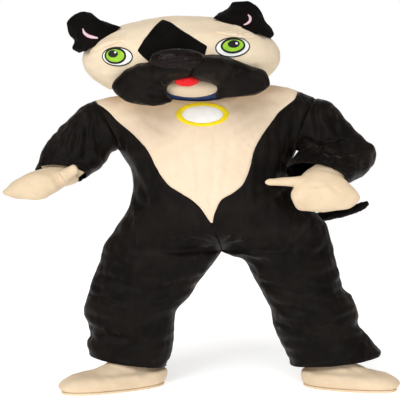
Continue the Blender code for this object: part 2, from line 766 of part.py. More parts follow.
HEAD_MIDDLE = Vector((-0.084, -0.070, 1.500))
HEAD_HALF = Vector((0.446, 0.280, 0.188))
HEAD_ROLL = math.radians(1.4)
NECK_TILT = math.radians(4.6)
HEAD_COLUMNS = 24
HEAD_DROPS = [1.0, 0.89, 0.78, 0.70, 0.61, 0.52, 0.43, 0.34, 0.25, 0.165, 0.085]
HEAD_UNDERSIDE = 0.78
HEAD_LOWEST_TURN = math.radians(133)
HEAD_RIM_HEIGHT = 1.356
HEAD_RIM_INSET = 0.004
COLLAR_THICKNESS = 0.003
ROLL = Matrix.Rotation(-HEAD_ROLL, 3, "Y")


def rim_height(x):
    return HEAD_RIM_HEIGHT + math.tan(NECK_TILT) * (x - HEAD_MIDDLE.x)


def neck_point(turn, inset=0.0):
    """A point of the neck hole, turn 0 at the front, rising to a quarter turn at the wearer's left."""
    depth = NECK_DEPTH[FRONT] if math.cos(turn) > 0 else NECK_DEPTH[BACK]
    x = (NECK_SIDE[LEFT].x - inset) * math.sin(turn)
    y = NECK_SIDE[LEFT].y - (depth - inset) * math.cos(turn)
    return Vector((x, y, rim_height(x)))


def head_point(turn, drop):
    """The head's outer skin, from the crown, drop 0, round under the jaw to the neck hole, drop 1."""
    lat = min(drop, HEAD_UNDERSIDE) / HEAD_UNDERSIDE * HEAD_LOWEST_TURN
    local = Vector(
        (
            HEAD_HALF.x * math.sin(lat) * math.sin(turn),
            -HEAD_HALF.y * math.sin(lat) * math.cos(turn),
            HEAD_HALF.z * math.cos(lat),
        )
    )
    place = HEAD_MIDDLE + ROLL @ local
    if drop > HEAD_UNDERSIDE:
        share = (drop - HEAD_UNDERSIDE) / (1 - HEAD_UNDERSIDE)
        rim = neck_point(turn, HEAD_RIM_INSET)
        place = place.lerp(rim, share)
    return place


def head_normal(turn, drop):
    step = 0.01
    low, high = max(0.001, drop - step), min(1.0, drop + step)
    around = head_point(turn + step, drop) - head_point(turn - step, drop)
    down = head_point(turn, high) - head_point(turn, low)
    return -around.cross(down).normalized()


def head_panel(name, first, last):
    """One panel of the head shell between two turns, with its point at the crown."""
    turns = [mix(first, last, c / round((last - first) / (2 * math.pi) * HEAD_COLUMNS)) for c in range(
        round((last - first) / (2 * math.pi) * HEAD_COLUMNS) + 1)]
    outer, inner = [], []
    for drop in HEAD_DROPS:
        row = [head_point(turn, drop) for turn in turns]
        normals = [head_normal(turn, drop) for turn in turns]
        row[0] = row[0] + (row[1] - row[0]).normalized() * SEAM / 2
        row[-1] = row[-1] + (row[-2] - row[-1]).normalized() * SEAM / 2
        outer.append(row)
        inner.append([p - n * FOAM for p, n in zip(row, normals)])
    middle = (first + last) / 2
    crown = head_point(0, 0.0) + Vector((math.sin(middle), -math.cos(middle), 0)) * SEAM
    return wall(name, outer, inner, "cream_plush", tips=(crown, crown - UP * FOAM))


def head_form(name, grow):
    """The whole head as one closed form grown by a distance, for cutting what lies on it."""
    turns = [2 * math.pi * c / HEAD_COLUMNS for c in range(HEAD_COLUMNS)]
    rings = [[head_point(t, d) + head_normal(t, d) * grow for t in turns] for d in HEAD_DROPS]
    mesh = bmesh.new()
    loops = [[mesh.verts.new(p) for p in ring] for ring in rings]
    for a, b in zip(loops, loops[1:]):
        for c in range(HEAD_COLUMNS):
            d = (c + 1) % HEAD_COLUMNS
            split_quad(mesh, a[c], a[d], b[d], b[c])
    crown = mesh.verts.new(head_point(0, 0) + UP * grow)
    for c in range(HEAD_COLUMNS):
        mesh.faces.new((loops[-1][c], loops[-1][(c + 1) % HEAD_COLUMNS], crown))
    mesh.faces.new(loops[0])
    return make_object(name, mesh, "cream_plush")


def prism(name, outline, near=-0.62, far=-0.09):
    """A block with an outline seen from the front, from near to far along Y."""
    rings = [[Vector((x, y, z)) for x, z in outline] for y in (near, far)]
    return closed_tube(name, rings, "cream_plush")


def oval(x, z, half_x, half_z, tilt=0.0, count=20):
    points = []
    for i in range(count):
        turn = 2 * math.pi * i / count
        a, b = half_x * math.cos(turn), half_z * math.sin(turn)
        points.append((x + a * math.cos(tilt) - b * math.sin(tilt), z + a * math.sin(tilt) + b * math.cos(tilt)))
    return points


def grown(outline, amount):
    """An outline moved outward from its middle."""
    middle = Vector((sum(p[0] for p in outline), sum(p[1] for p in outline))) / len(outline)
    made = []
    for x, z in outline:
        away = Vector((x, z)) - middle
        made.append(tuple(Vector((x, z)) + away.normalized() * amount))
    return made


def laid_on_head(name, outline, low, high, colour, others=(), roughness=0.9):
    """A cut piece of cloth lying on the head: its outline, its lower and its upper face above the skin."""
    thing = prism(name, outline)
    thing.data.materials.clear()
    thing.data.materials.append(finish(colour, roughness))
    steps = [("INTERSECT", head_form("over", high)), ("DIFFERENCE", head_form("under", low))]
    carve(thing, *steps, *others)
    return thing


def puff(name, middle, half, colour, sides=14, rows=8, power=1.0, roughness=0.9):
    """A stuffed oval."""
    rings = []
    for r in range(1, rows):
        lat = math.pi * r / rows
        ring = []
        for c in range(sides):
            turn = 2 * math.pi * c / sides
            ring.append(middle + Vector((
                half.x * math.cos(lat),
                half.y * math.sin(lat) ** power * math.cos(turn),
                half.z * math.sin(lat) ** power * math.sin(turn),
            )))
        rings.append(ring)
    mesh = bmesh.new()
    loops = [[mesh.verts.new(p) for p in ring] for ring in rings]
    for a, b in zip(loops, loops[1:]):
        for c in range(sides):
            d = (c + 1) % sides
            split_quad(mesh, a[c], a[d], b[d], b[c])
    for loop, sign in ((loops[0], 1), (loops[-1], -1)):
        end = mesh.verts.new(middle + Vector((half.x * sign, 0, 0)))
        for c in range(sides):
            mesh.faces.new((loop[c], loop[(c + 1) % sides], end))
    return make_object(name, mesh, colour, roughness)


# The muzzle's two padded halves, by angle round the mouth's middle: inner and outer distance, and padding.
MOUTH = Vector((-0.0385, 0, 1.310))
JOWL = table(
    "angle inner outer padding",
    (4, 0.103, 0.222, 0.034),
    (5, 0.107, 0.290, 0.046),
    (12, 0.111, 0.352, 0.062),
    (20, 0.118, 0.350, 0.076),
    (30, 0.120, 0.298, 0.088),
    (45, 0.112, 0.250, 0.094),
    (60, 0.098, 0.223, 0.096),
    (75, 0.093, 0.195, 0.094),
    (89.7, 0.090, 0.171, 0.090),
    (90.3, 0.090, 0.171, 0.090),
    (105, 0.093, 0.182, 0.094),
    (120, 0.098, 0.197, 0.096),
    (135, 0.112, 0.236, 0.096),
    (150, 0.117, 0.292, 0.090),
    (160, 0.112, 0.326, 0.080),
    (170, 0.102, 0.350, 0.066),
    (180, 0.084, 0.292, 0.052),
    (185, 0.090, 0.222, 0.042),
    (189, 0.118, 0.172, 0.030),
)
JOWL_BACK = 0.055
JOWL_SIDES = 12


def head_front(x, z):
    """How far forward the head's skin lies at a place seen from the front, as on the plain oval."""
    local = ROLL.transposed() @ Vector((x - HEAD_MIDDLE.x, 0, z - HEAD_MIDDLE.z))
    rest = 1 - (local.x / HEAD_HALF.x) ** 2 - (local.z / HEAD_HALF.z) ** 2
    return HEAD_MIDDLE.y - HEAD_HALF.y * math.sqrt(max(0.16, rest))


def jowl_rings(rows, grow=0.0):
    rings = []
    for number, row in enumerate(rows):
        turn = math.radians(row.angle)
        spoke = Vector((math.cos(turn), 0, math.sin(turn)))
        middle = MOUTH + spoke * (row.inner + row.outer) / 2
        middle.y = min(-0.265, head_front(middle.x, max(middle.z, 1.40)))
        half = (row.outer - row.inner) / 2 + grow
        ring = []
        for c in range(JOWL_SIDES):
            a = 2 * math.pi * c / JOWL_SIDES
            depth = (row.padding if math.sin(a) > 0 else JOWL_BACK) + grow
            ring.append(middle + spoke * half * math.cos(a) - SOUTH * depth * math.sin(a))
        if grow and number in (0, len(rows) - 1):
            turned = Vector((-spoke.z, 0, spoke.x)) * grow * (1 if number else -1)
            ring = [p + turned for p in ring]
        rings.append(ring)
    return rings


PATCH_OUTLINE = (
    (-0.167, 1.664), (-0.205, 1.620), (-0.240, 1.570), (-0.270, 1.522), (-0.250, 1.500), (-0.215, 1.470),
    (-0.150, 1.440), (-0.065, 1.430), (-0.005, 1.455), (0.020, 1.500), (0.032, 1.540), (-0.020, 1.572),
    (-0.080, 1.612), (-0.130, 1.650),
)
PATCH_THICKNESS = 0.0038

EYES = table(
    "word side x z half_x half_z tilt iris_x iris_z iris_half_x iris_half_z pupil_x pupil_z pupil_half_x pupil_half_z",
    ("right", RIGHT, -0.3576, 1.4980, 0.0706, 0.0414, -4, -0.3655, 1.5018, 0.0442, 0.0305,
     -0.3750, 1.5095, 0.0218, 0.0153),
    ("left", LEFT, 0.1406, 1.5373, 0.0780, 0.0434, 6, 0.1415, 1.5434, 0.0495, 0.0289,
     0.1441, 1.5500, 0.0260, 0.0163),
)
BROWS = {
    RIGHT: ((-0.484, 1.522), (-0.437, 1.543), (-0.384, 1.556), (-0.322, 1.557), (-0.316, 1.566), (-0.336, 1.575),
            (-0.392, 1.579), (-0.447, 1.561)),
    LEFT: ((0.056, 1.596), (0.108, 1.578), (0.150, 1.572), (0.191, 1.572), (0.254, 1.583), (0.230, 1.598),
           (0.196, 1.604), (0.122, 1.606)),
}
BROW_PADDING = 0.011

EAR_RIBS = {
    RIGHT: table(
        "root_x root_z out_x out_z",
        (-0.368, 1.640, -0.440, 1.668),
        (-0.385, 1.634, -0.477, 1.678),
        (-0.400, 1.627, -0.490, 1.704),
        (-0.427, 1.613, -0.522, 1.709),
        (-0.454, 1.595, -0.572, 1.690),
        (-0.472, 1.581, -0.599, 1.654),
        (-0.486, 1.563, -0.586, 1.604),
        (-0.499, 1.550, -0.566, 1.577),
        (-0.507, 1.541, -0.575, 1.546),
        (-0.513, 1.527, -0.545, 1.524),
    ),
    LEFT: table(
        "root_x root_z out_x out_z",
        (0.066, 1.680, 0.085, 1.702),
        (0.105, 1.670, 0.125, 1.722),
        (0.140, 1.659, 0.148, 1.750),
        (0.172, 1.649, 0.204, 1.7560),
        (0.205, 1.637, 0.245, 1.740),
        (0.232, 1.627, 0.272, 1.713),
        (0.252, 1.616, 0.294, 1.668),
        (0.268, 1.608, 0.325, 1.628),
        (0.280, 1.601, 0.333, 1.608),
        (0.288, 1.594, 0.312, 1.584),
    ),
}
EAR_Y = -0.090
EAR_ROOT_INSIDE = 0.035
EAR_ROOT_DEPTH = 0.012
EAR_PADDING = 0.026
EAR_LININGS = {
    RIGHT: ((-0.5195, 1.630, 0.003), (-0.512, 1.612, 0.007), (-0.498, 1.598, 0.008), (-0.472, 1.588, 0.003)),
    LEFT: ((0.205, 1.697, 0.003), (0.220, 1.682, 0.007), (0.222, 1.665, 0.008), (0.210, 1.650, 0.007),
           (0.188, 1.642, 0.003)),
}


def ear_rings(side, grow=0.0):
    rings = []
    for number, rib in enumerate(EAR_RIBS[side]):
        root = Vector((rib.root_x, min(EAR_Y, head_front(rib.root_x, rib.root_z) + EAR_ROOT_DEPTH), rib.root_z))
        outer = Vector((rib.out_x, EAR_Y, rib.out_z))
        spoke = (outer - root).normalized()
        root = root - spoke * EAR_ROOT_INSIDE
        middle, half = (root + outer) / 2, (outer - root).length / 2 + grow
        share = number / (len(EAR_RIBS[side]) - 1)
        pad = EAR_PADDING * (0.35 + 0.65 * math.sin(math.pi * share) ** 0.6) + grow
        ring = []
        for c in range(10):
            a = 2 * math.pi * c / 10
            ring.append(middle + spoke * half * math.cos(a) - SOUTH * pad * math.sin(a))
        rings.append(ring)
    if grow:
        for end, beside in ((0, 1), (-1, -2)):
            away = (sum(rings[end], Vector()) - sum(rings[beside], Vector())).normalized()
            rings[end] = [p + away * grow for p in rings[end]]
    return rings


def front_block(name, outline, side):
    """A block over an outline that ends at the middle of the ear's thickness, so that it meets only its front."""
    ribs = ear_rings(side)
    places = [(ring[0], ring[5]) for ring in ribs]
    places = [outer.lerp(root, share) for outer, root in places for share in (0.0, 0.25, 0.5, 0.75)]

    def middle_y(x, z):
        weights = [1 / ((p.x - x) ** 2 + (p.z - z) ** 2 + 0.0001) ** 2 for p in places]
        return sum(w * p.y for w, p in zip(weights, places)) / sum(weights)

    near = [Vector((x, -0.5, z)) for x, z in outline]
    far = [Vector((x, middle_y(x, z), z)) for x, z in outline]
    return closed_tube(name, [near, far], "cream_plush")


def strip_outline(rows):
    """The outline of a curved strip from its middle line and half widths."""
    upper, lower = [], []
    for i, (x, z, half) in enumerate(rows):
        before, after = rows[max(i - 1, 0)], rows[min(i + 1, len(rows) - 1)]
        along = Vector((after[0] - before[0], after[1] - before[1])).normalized()
        upper.append((x - along.y * half, z + along.x * half))
        lower.append((x + along.y * half, z - along.x * half))
    return upper + lower[::-1]


def head():
    head_panel("head_face", -math.pi / 2, math.pi / 2)
    head_panel("head_back_left", math.pi / 2, math.pi)
    head_panel("head_back_right", math.pi, 3 * math.pi / 2)
    laid_on_head("head_patch", PATCH_OUTLINE, SEAM, PATCH_THICKNESS, "black_plush")

    def patch_block():
        block = prism("patch_block", grown(PATCH_OUTLINE, 0.0006))
        carve(block, ("INTERSECT", head_form("over", PATCH_THICKNESS + SEAM)))
        return block

    sides = {LEFT: JOWL[:9], RIGHT: JOWL[9:]}
    for side, word in ((RIGHT, "right"), (LEFT, "left")):
        half = closed_tube("jowl_" + word, jowl_rings(sides[side]), "black_plush")
        carve(half, ("DIFFERENCE", head_form("under", SEAM)), ("DIFFERENCE", patch_block()))

    def jowl_blocks():
        return [closed_tube("block", jowl_rings(sides[side], SEAM), "black_plush") for side in (RIGHT, LEFT)]

    nose = puff("nose", NOSE_MIDDLE, NOSE_HALF, "black_vinyl", power=0.8, roughness=0.15)
    carve(nose, ("DIFFERENCE", head_form("under", SEAM)), ("DIFFERENCE", patch_block()),
          *[("DIFFERENCE", block) for block in jowl_blocks()])
    chin = puff("head_chin", CHIN_MIDDLE, CHIN_HALF, "cream_plush")
    carve(chin, ("DIFFERENCE", head_form("under", SEAM)), *[("DIFFERENCE", block) for block in jowl_blocks()])
    tongue = puff("tongue", TONGUE_MIDDLE, TONGUE_HALF, "red_felt", sides=12, rows=8)
    chin_block = puff("block", CHIN_MIDDLE, CHIN_HALF + Vector((SEAM, SEAM, SEAM)), "cream_plush")
    carve(tongue, ("DIFFERENCE", head_form("under", SEAM)), ("DIFFERENCE", chin_block),
          *[("DIFFERENCE", block) for block in jowl_blocks()])

    for eye in EYES:
        tilt = math.radians(eye.tilt)
        white = oval(eye.x, eye.z, eye.half_x, eye.half_z, tilt)
        iris = oval(eye.iris_x, eye.iris_z, eye.iris_half_x, eye.iris_half_z, tilt)
        pupil = oval(eye.pupil_x, eye.pupil_z, eye.pupil_half_x, eye.pupil_half_z, tilt, count=14)
        laid_on_head("eye_white_" + eye.word, white, SEAM, 0.0022, "white_felt")
        laid_on_head("eye_iris_" + eye.word, iris, 0.0025, 0.0042, "green_felt")
        laid_on_head("eye_pupil_" + eye.word, pupil, 0.0045, 0.0060, "black_felt")
        eye_block = prism("eye_block", grown(white, 0.0006))
        carve(eye_block, ("INTERSECT", head_form("over", 0.0063)))
        laid_on_head("brow_" + eye.word, BROWS[eye.side], SEAM, BROW_PADDING, "cream_plush",
                     others=[("DIFFERENCE", eye_block)])
        ear = closed_tube("ear_" + eye.word, ear_rings(eye.side), "black_plush")
        carve(ear, ("DIFFERENCE", head_form("under", SEAM)))
        lining = front_block("ear_lining_" + eye.word, strip_outline(EAR_LININGS[eye.side]), eye.side)
        lining.data.materials.clear()
        lining.data.materials.append(finish("pink_satin", 0.4))
        over = closed_tube("over", ear_rings(eye.side, 0.0024), "pink_satin")
        under = closed_tube("under", ear_rings(eye.side, SEAM), "pink_satin")
        carve(lining, ("INTERSECT", over), ("DIFFERENCE", under), ("DIFFERENCE", head_form("head", SEAM)))


NOSE_MIDDLE = Vector((-0.0960, -0.392, 1.478))
NOSE_HALF = Vector((0.117, 0.058, 0.051))
CHIN_MIDDLE = Vector((-0.037, -0.262, 1.366))
CHIN_HALF = Vector((0.120, 0.066, 0.043))
TONGUE_MIDDLE = Vector((-0.058, -0.335, 1.392))
TONGUE_HALF = Vector((0.052, 0.034, 0.024))


def collar():
    """The satin band that stands on the neckline and carries the head's rim."""
    count = NECK_COLUMNS * 4
    bottom, top, directions = [], [], []
    for i in range(count):
        turn = 2 * math.pi * i / count
        side = LEFT if math.sin(turn) >= 0 else RIGHT
        face = FRONT if math.cos(turn) > 0 else BACK
        share = math.asin(min(1.0, abs(math.sin(turn)))) / (math.pi / 2) * NECKLINE_SHARE
        low = top_edge(side, face, share) + UP * SEAM
        high = neck_point(turn)
        bottom.append(low)
        top.append(Vector((high.x, high.y, high.z - SEAM)))
        away = Vector((low.x, low.y - NECK_SIDE[LEFT].y, 0)).normalized()
        directions.append(away)
    middle = [a.lerp(b, 0.5) + n * 0.004 for a, b, n in zip(bottom, top, directions)]
    outer = [bottom, middle, top]
    return wall("collar", outer, moved(outer, [directions] * 3, -COLLAR_THICKNESS), "blue_satin", wrap=True,
                roughness=0.4)


# The round tag on the chest, with a small tab toward the collar.
TAG = (0.011, 1.248)
TAG_OUTER = (0.1180, 0.0530)
TAG_INNER = (0.0915, 0.0385)
TAG_THICKNESS = 0.003
TAG_TAB = ((-0.024, 0.046), (-0.022, 0.0575), (-0.006, 0.0585), (-0.002, 0.050))


def chest_layer(name, low, high):
    """A layer over the chest, from its points moved out."""
    outer, inner = [], []
    for level in [level for level in LEVELS if level >= UNDERARM - 0.05]:
        over, under = [], []
        for side in (RIGHT, LEFT):
            edge = chest_share(side, level) / chest_share(side, LEVELS[-1])
            shares = [NECKLINE_SHARE * c / NECK_COLUMNS * edge for c in range(NECK_COLUMNS + 1)]
            if side == RIGHT:
                shares = shares[::-1]
            else:
                shares = shares[1:]
            for share in shares:
                place = jumpsuit(side, FRONT, share, level)
                direction = outward(lambda s, l: jumpsuit(side, FRONT, s, l), share, level) * side * -FRONT
                over.append(place + direction * high)
                under.append(place + direction * low)
        outer.append(over)
        inner.append(under)
    return wall(name, outer, inner, "yellow_felt")


def tag():
    x, z = TAG
    ring = oval(x, z, *TAG_OUTER, count=28)
    tab = [(x + a, z + b) for a, b in TAG_TAB]
    block = prism("tag_ring", ring, near=-0.5, far=0.0)
    carve(block, ("UNION", prism("tab", tab, near=-0.49, far=0.01)))
    carve(block, ("DIFFERENCE", prism("hole", oval(x, z, *TAG_INNER, count=24), near=-0.6, far=0.1)))
    carve(block, ("INTERSECT", chest_layer("layer", SEAM, TAG_THICKNESS)))
    block.data.materials.clear()
    block.data.materials.append(finish("yellow_felt", 0.8))
    inside = oval(x, z, TAG_INNER[0] - SEAM, TAG_INNER[1] - SEAM, count=24)
    disc = prism("tag_disc", inside, near=-0.5, far=0.0)
    carve(disc, ("INTERSECT", chest_layer("layer", SEAM, TAG_THICKNESS - 0.0008)))
    disc.data.materials.clear()
    disc.data.materials.append(finish("white_felt", 0.8))


TAIL = table(
    "x y z radius",
    (0.075, 0.175, 0.745, 0.030),
    (0.085, 0.225, 0.742, 0.029),
    (0.125, 0.268, 0.738, 0.027),
    (0.210, 0.292, 0.735, 0.025),
    (0.330, 0.288, 0.738, 0.0235),
    (0.450, 0.268, 0.744, 0.0235),
    (0.560, 0.232, 0.754, 0.0230),
    (0.655, 0.190, 0.774, 0.0225),
    (0.722, 0.155, 0.796, 0.0215),
    (0.768, 0.130, 0.818, 0.0185),
    (0.791, 0.117, 0.832, 0.0110),
)


def tail():
    """A stuffed tail from the seat, sweeping to the wearer's left."""
    places = [Vector((row.x, row.y, row.z)) for row in TAIL]
    rings = []
    for i, row in enumerate(TAIL):
        along = (places[min(i + 1, len(places) - 1)] - places[max(i - 1, 0)]).normalized()
        one = along.cross(UP).normalized()
        two = along.cross(one)
        rings.append([
            places[i] + (one * math.cos(a) + two * math.sin(a)) * row.radius
            for a in (2 * math.pi * c / 10 for c in range(10))
        ])
    thing = closed_tube("tail", rings, "black_plush")
    seat = []
    for level in [level for level in LOWER_LEVELS if 0.66 <= level <= 0.87]:
        ring = [half_ring(LEFT, FRONT, share, level) for share in FRONT_SHARES]
        ring += [half_ring(LEFT, BACK, share, level) for share in reversed(BACK_SHARES[1:-1])]
        ring += [half_ring(RIGHT, BACK, share, level) for share in BACK_SHARES]
        ring += [half_ring(RIGHT, FRONT, share, level) for share in reversed(FRONT_SHARES[1:-1])]
        seat.append(ring)
    body = closed_tube("body", moved(seat, ring_normals(seat), 2.5 * SEAM), "black_plush")
    carve(thing, ("DIFFERENCE", body))


def main():
    for thing in list(bpy.data.objects):
        bpy.data.objects.remove(thing)
    anchor = bpy.data.objects.new("wearer_shoulders", None)
    bpy.context.scene.collection.objects.link(anchor)
    anchor.location.z = -SHOULDER_HEIGHT
    chest_panel()
    for side, word in ((RIGHT, "right"), (LEFT, "left")):
        front_panel("front_" + word, side)
        back_panel("back_" + word, side)
        sleeve("sleeve_" + word, side)
        mitt("mitt_" + word, side)
        shoe(word, side)
    collar()
    tag()
    tail()
    head()


main()
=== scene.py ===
import math

import bmesh
import bpy
import numpy as np
from mathutils import Matrix, Vector
from mathutils.bvhtree import BVHTree


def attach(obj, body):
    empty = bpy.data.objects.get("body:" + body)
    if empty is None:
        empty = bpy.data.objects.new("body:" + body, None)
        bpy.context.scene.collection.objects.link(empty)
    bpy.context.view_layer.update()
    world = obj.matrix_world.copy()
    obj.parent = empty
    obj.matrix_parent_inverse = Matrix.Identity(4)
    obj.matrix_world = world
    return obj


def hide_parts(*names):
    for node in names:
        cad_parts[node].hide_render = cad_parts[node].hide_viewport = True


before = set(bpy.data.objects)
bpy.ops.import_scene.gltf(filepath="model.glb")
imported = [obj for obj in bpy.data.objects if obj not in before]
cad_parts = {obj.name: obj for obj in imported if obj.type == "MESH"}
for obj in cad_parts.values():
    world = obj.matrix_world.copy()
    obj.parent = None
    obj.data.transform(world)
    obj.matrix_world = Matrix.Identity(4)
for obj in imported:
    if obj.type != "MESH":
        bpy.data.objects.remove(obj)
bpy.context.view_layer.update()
print("frame loaded")

# Heights below are from the ground, and every piece is lowered by floorDrop when it is made.
# Right and left are the wearer's own, so the right is at -X. The costume looks along -Y.
floorDrop = 1.32
cloth = 0.0025
foam = 0.006
seam = 0.0003
rightSide, leftSide = -1, 1
frontFace, backFace = -1, 1
sides = (rightSide, leftSide)
sideWord = {rightSide: "right", leftSide: "left"}
up = np.array([0.0, 0.0, 1.0])


# Reading tables, and small sums.

def mix(a, b, share):
    return a + (b - a) * share


def smooth(share):
    share = np.clip(share, 0.0, 1.0)
    return share * share * (3 - 2 * share)


def bump(away, width):
    # 1 in the middle, and nearly 0 at twice this width away from it.
    return np.exp(-((away / width) ** 2))


def unit(ways):
    return ways / np.linalg.norm(ways, axis=-1, keepdims=True)


def turnsRound(count):
    return 2 * math.pi * np.arange(count) / count


def table(columns, *rows):
    return {name: np.array([row[i] for row in rows], float) for i, name in enumerate(columns.split())}


def creases(*blocks):
    # Each row of a block: where the crease starts and ends, its width, and its depth, below 0 for a trough.
    return table("face x0 z0 x1 z1 width depth", *((face, *row) for face, rows in blocks for row in rows))


def between(a, b, slopeA, slopeB, width, s):
    # A smooth curve from a to b, with these slopes at its ends.
    return (
        a * (2 * s**3 - 3 * s**2 + 1) + b * (3 * s**2 - 2 * s**3)
        + width * (slopeA * (s**3 - 2 * s**2 + s) + slopeB * (s**3 - s**2))
    )


def through(values, key, at):
    # Rows between the given ones, on smooth curves through them.
    k = np.clip(np.searchsorted(key, at, side="right") - 1, 0, len(key) - 2)
    shape = (-1,) + (1,) * (values.ndim - 1)
    width = (key[k + 1] - key[k]).reshape(shape)
    s = ((at - key[k]) / (key[k + 1] - key[k])).reshape(shape)
    slope = np.gradient(values, key, axis=0)
    return between(values[k], values[k + 1], slope[k], slope[k + 1], width, s)


def read(rows, at):
    # The columns at any values of the first one, on curves that never overshoot.
    names = list(rows)
    keys = rows[names[0]]
    at = np.clip(np.asarray(at, float), keys[0], keys[-1])
    k = np.clip(np.searchsorted(keys, at, side="right") - 1, 0, len(keys) - 2)
    width = keys[k + 1] - keys[k]
    s = (at - keys[k]) / width
    found = {}
    for name in names[1:]:
        values = rows[name]
        grade = np.diff(values) / np.diff(keys)
        number = np.arange(len(values))
        before, after = grade[np.maximum(number - 1, 0)], grade[np.minimum(number, len(grade) - 1)]
        total = np.where(before + after == 0, 1.0, before + after)
        slope = np.where(before * after > 0, 2 * before * after / total, 0.0)
        found[name] = between(values[k], values[k + 1], slope[k], slope[k + 1], width, s)
    return found


def point(x, y, z):
    return np.stack(np.broadcast_arrays(x, y, z), axis=-1).astype(float)


def ripple(points, size, seed):
    # A soft uneven field, about -1 to 1, with waves near this size in metres.
    dice = np.random.default_rng(seed)
    total = 0.0
    for _ in range(7):
        way = dice.normal(size=3)
        way /= np.linalg.norm(way)
        total = total + np.sin(points @ way * (2 * math.pi / size * dice.uniform(0.6, 1.5)) + dice.uniform(0, 6.28))
    return total / 3.4


# The jumpsuit's form, as in the CAD model.

suit = {
    "underarm": 1.089, "crotch": 0.615, "seat": 0.72, "chestTip": 0.767, "necklineShare": 0.34,
    "torso": table(
        "height right left centre front back",
        (0.615, -0.452, 0.617, 0.099, 0.170, 0.190),
        (0.670, -0.419, 0.600, 0.085, 0.190, 0.205),
        (0.744, -0.377, 0.582, 0.060, 0.208, 0.205),
        (0.800, -0.338, 0.530, 0.047, 0.218, 0.190),
        (0.854, -0.317, 0.475, 0.036, 0.222, 0.172),
        (0.928, -0.306, 0.425, 0.028, 0.220, 0.160),
        (1.000, -0.318, 0.410, 0.020, 0.214, 0.165),
        (1.089, -0.377, 0.442, 0.020, 0.200, 0.175),
    ),
    "leg": {
        rightSide: table(
            "height inner outer middle depth",
            (0.125, -0.155, -0.515, -0.005, 0.140),
            (0.165, -0.134, -0.524, -0.005, 0.138),
            (0.215, -0.125, -0.509, -0.005, 0.136),
            (0.270, -0.120, -0.513, -0.010, 0.142),
            (0.335, -0.112, -0.536, -0.015, 0.152),
            (0.413, -0.046, -0.520, -0.010, 0.158),
            (0.450, -0.023, -0.509, -0.005, 0.158),
            (0.486, 0.003, -0.499, 0.000, 0.162),
            (0.560, 0.060, -0.468, 0.005, 0.172),
            (0.615, 0.0985, -0.452, 0.010, 0.180),
        ),
        leftSide: table(
            "height inner outer middle depth",
            (0.125, 0.420, 0.840, -0.005, 0.145),
            (0.165, 0.400, 0.812, -0.005, 0.138),
            (0.229, 0.363, 0.768, -0.005, 0.140),
            (0.280, 0.341, 0.733, -0.010, 0.146),
            (0.339, 0.331, 0.728, -0.012, 0.152),
            (0.413, 0.294, 0.698, -0.010, 0.156),
            (0.450, 0.276, 0.660, -0.005, 0.156),
            (0.523, 0.235, 0.644, 0.000, 0.160),
            (0.560, 0.221, 0.630, 0.005, 0.165),
            (0.590, 0.185, 0.623, 0.008, 0.172),
            (0.615, 0.0995, 0.617, 0.010, 0.178),
        ),
    },
    "hemSlope": {rightSide: -0.15, leftSide: 0.11}, "hemSlopeTop": 0.30, "hemHeight": 0.125,
    "shoulder": {rightSide: (-0.500, 0.010, 1.306), leftSide: (0.530, 0.010, 1.322)},
    "shoulderRise": {rightSide: 0.020, leftSide: 0.036},
    "neckSide": {rightSide: (-0.165, 0.020, 1.330), leftSide: (0.165, 0.020, 1.365)},
    "neckDepth": {frontFace: 0.135, backFace: 0.105},
    "neckHeight": {frontFace: 1.308, backFace: 1.338},
    "armholeBow": {frontFace: 0.105, backFace: 0.095}, "armholeInward": 0.025,
    # Where the pale chest ends and the black fronts begin, seen from the front.
    "chestEdge": table(
        "height right left",
        (0.767, 0.048, 0.056),
        (0.798, 0.027, 0.061),
        (0.833, 0.003, 0.074),
        (0.869, -0.035, 0.093),
        (0.904, -0.093, 0.151),
        (0.940, -0.146, 0.191),
        (1.011, -0.195, 0.222),
        (1.082, -0.231, 0.239),
        (1.152, -0.293, 0.275),
        (1.223, -0.377, 0.328),
        (1.259, -0.410, 0.355),
        (1.294, -0.460, 0.398),
        (1.320, -0.530, 0.430),
        (1.360, -0.600, 0.450),
    ),
    # The large folds that the CAD model has too, as lines seen from the front or the back.
    "large": creases((frontFace, [
        (0.160, 0.650, 0.340, 0.800, 0.035, -0.020),
        (0.200, 0.640, 0.480, 0.745, 0.040, 0.012),
        (-0.020, 0.830, -0.005, 1.130, 0.028, -0.006),
        (0.095, 0.860, 0.080, 1.120, 0.030, -0.006),
        (-0.420, 0.700, -0.330, 0.880, 0.030, 0.007),
        (-0.460, 0.480, -0.060, 0.560, 0.032, -0.007),
        (-0.380, 0.400, -0.020, 0.470, 0.032, -0.006),
        (0.230, 0.560, 0.520, 0.600, 0.030, -0.008),
        (0.330, 0.400, 0.640, 0.470, 0.035, -0.008),
        (0.420, 0.235, 0.720, 0.275, 0.030, -0.006),
        (-0.450, 0.250, -0.180, 0.240, 0.030, -0.006),
    ]), (backFace, [
        (-0.250, 0.860, 0.350, 0.845, 0.045, -0.012),
        (-0.260, 0.930, 0.340, 0.940, 0.045, -0.009),
        (0.090, 0.640, 0.420, 0.560, 0.035, -0.010),
        (0.080, 0.640, -0.300, 0.550, 0.035, -0.010),
        (-0.420, 0.380, -0.080, 0.360, 0.038, -0.010),
        (0.340, 0.390, 0.680, 0.350, 0.038, -0.010),
        (-0.250, 1.020, -0.150, 1.230, 0.035, -0.008),
        (0.320, 1.020, 0.220, 1.230, 0.035, -0.008),
    ])),
}


def largeFolds(face, x, z):
    rows, total = suit["large"], 0.0
    for k in np.nonzero(rows["face"] == face)[0]:
        x0, z0, x1, z1, width, depth = (rows[column][k] for column in list(rows)[1:])
        ax, az = x1 - x0, z1 - z0
        inside = np.clip(((x - x0) * ax + (z - z0) * az) / (ax * ax + az * az), 0, 1)
        away = np.hypot(x - x0 - ax * inside, z - z0 - az * inside)
        total = total + depth * np.sin(math.pi * (0.1 + 0.8 * inside)) * bump(away, width)
    return total


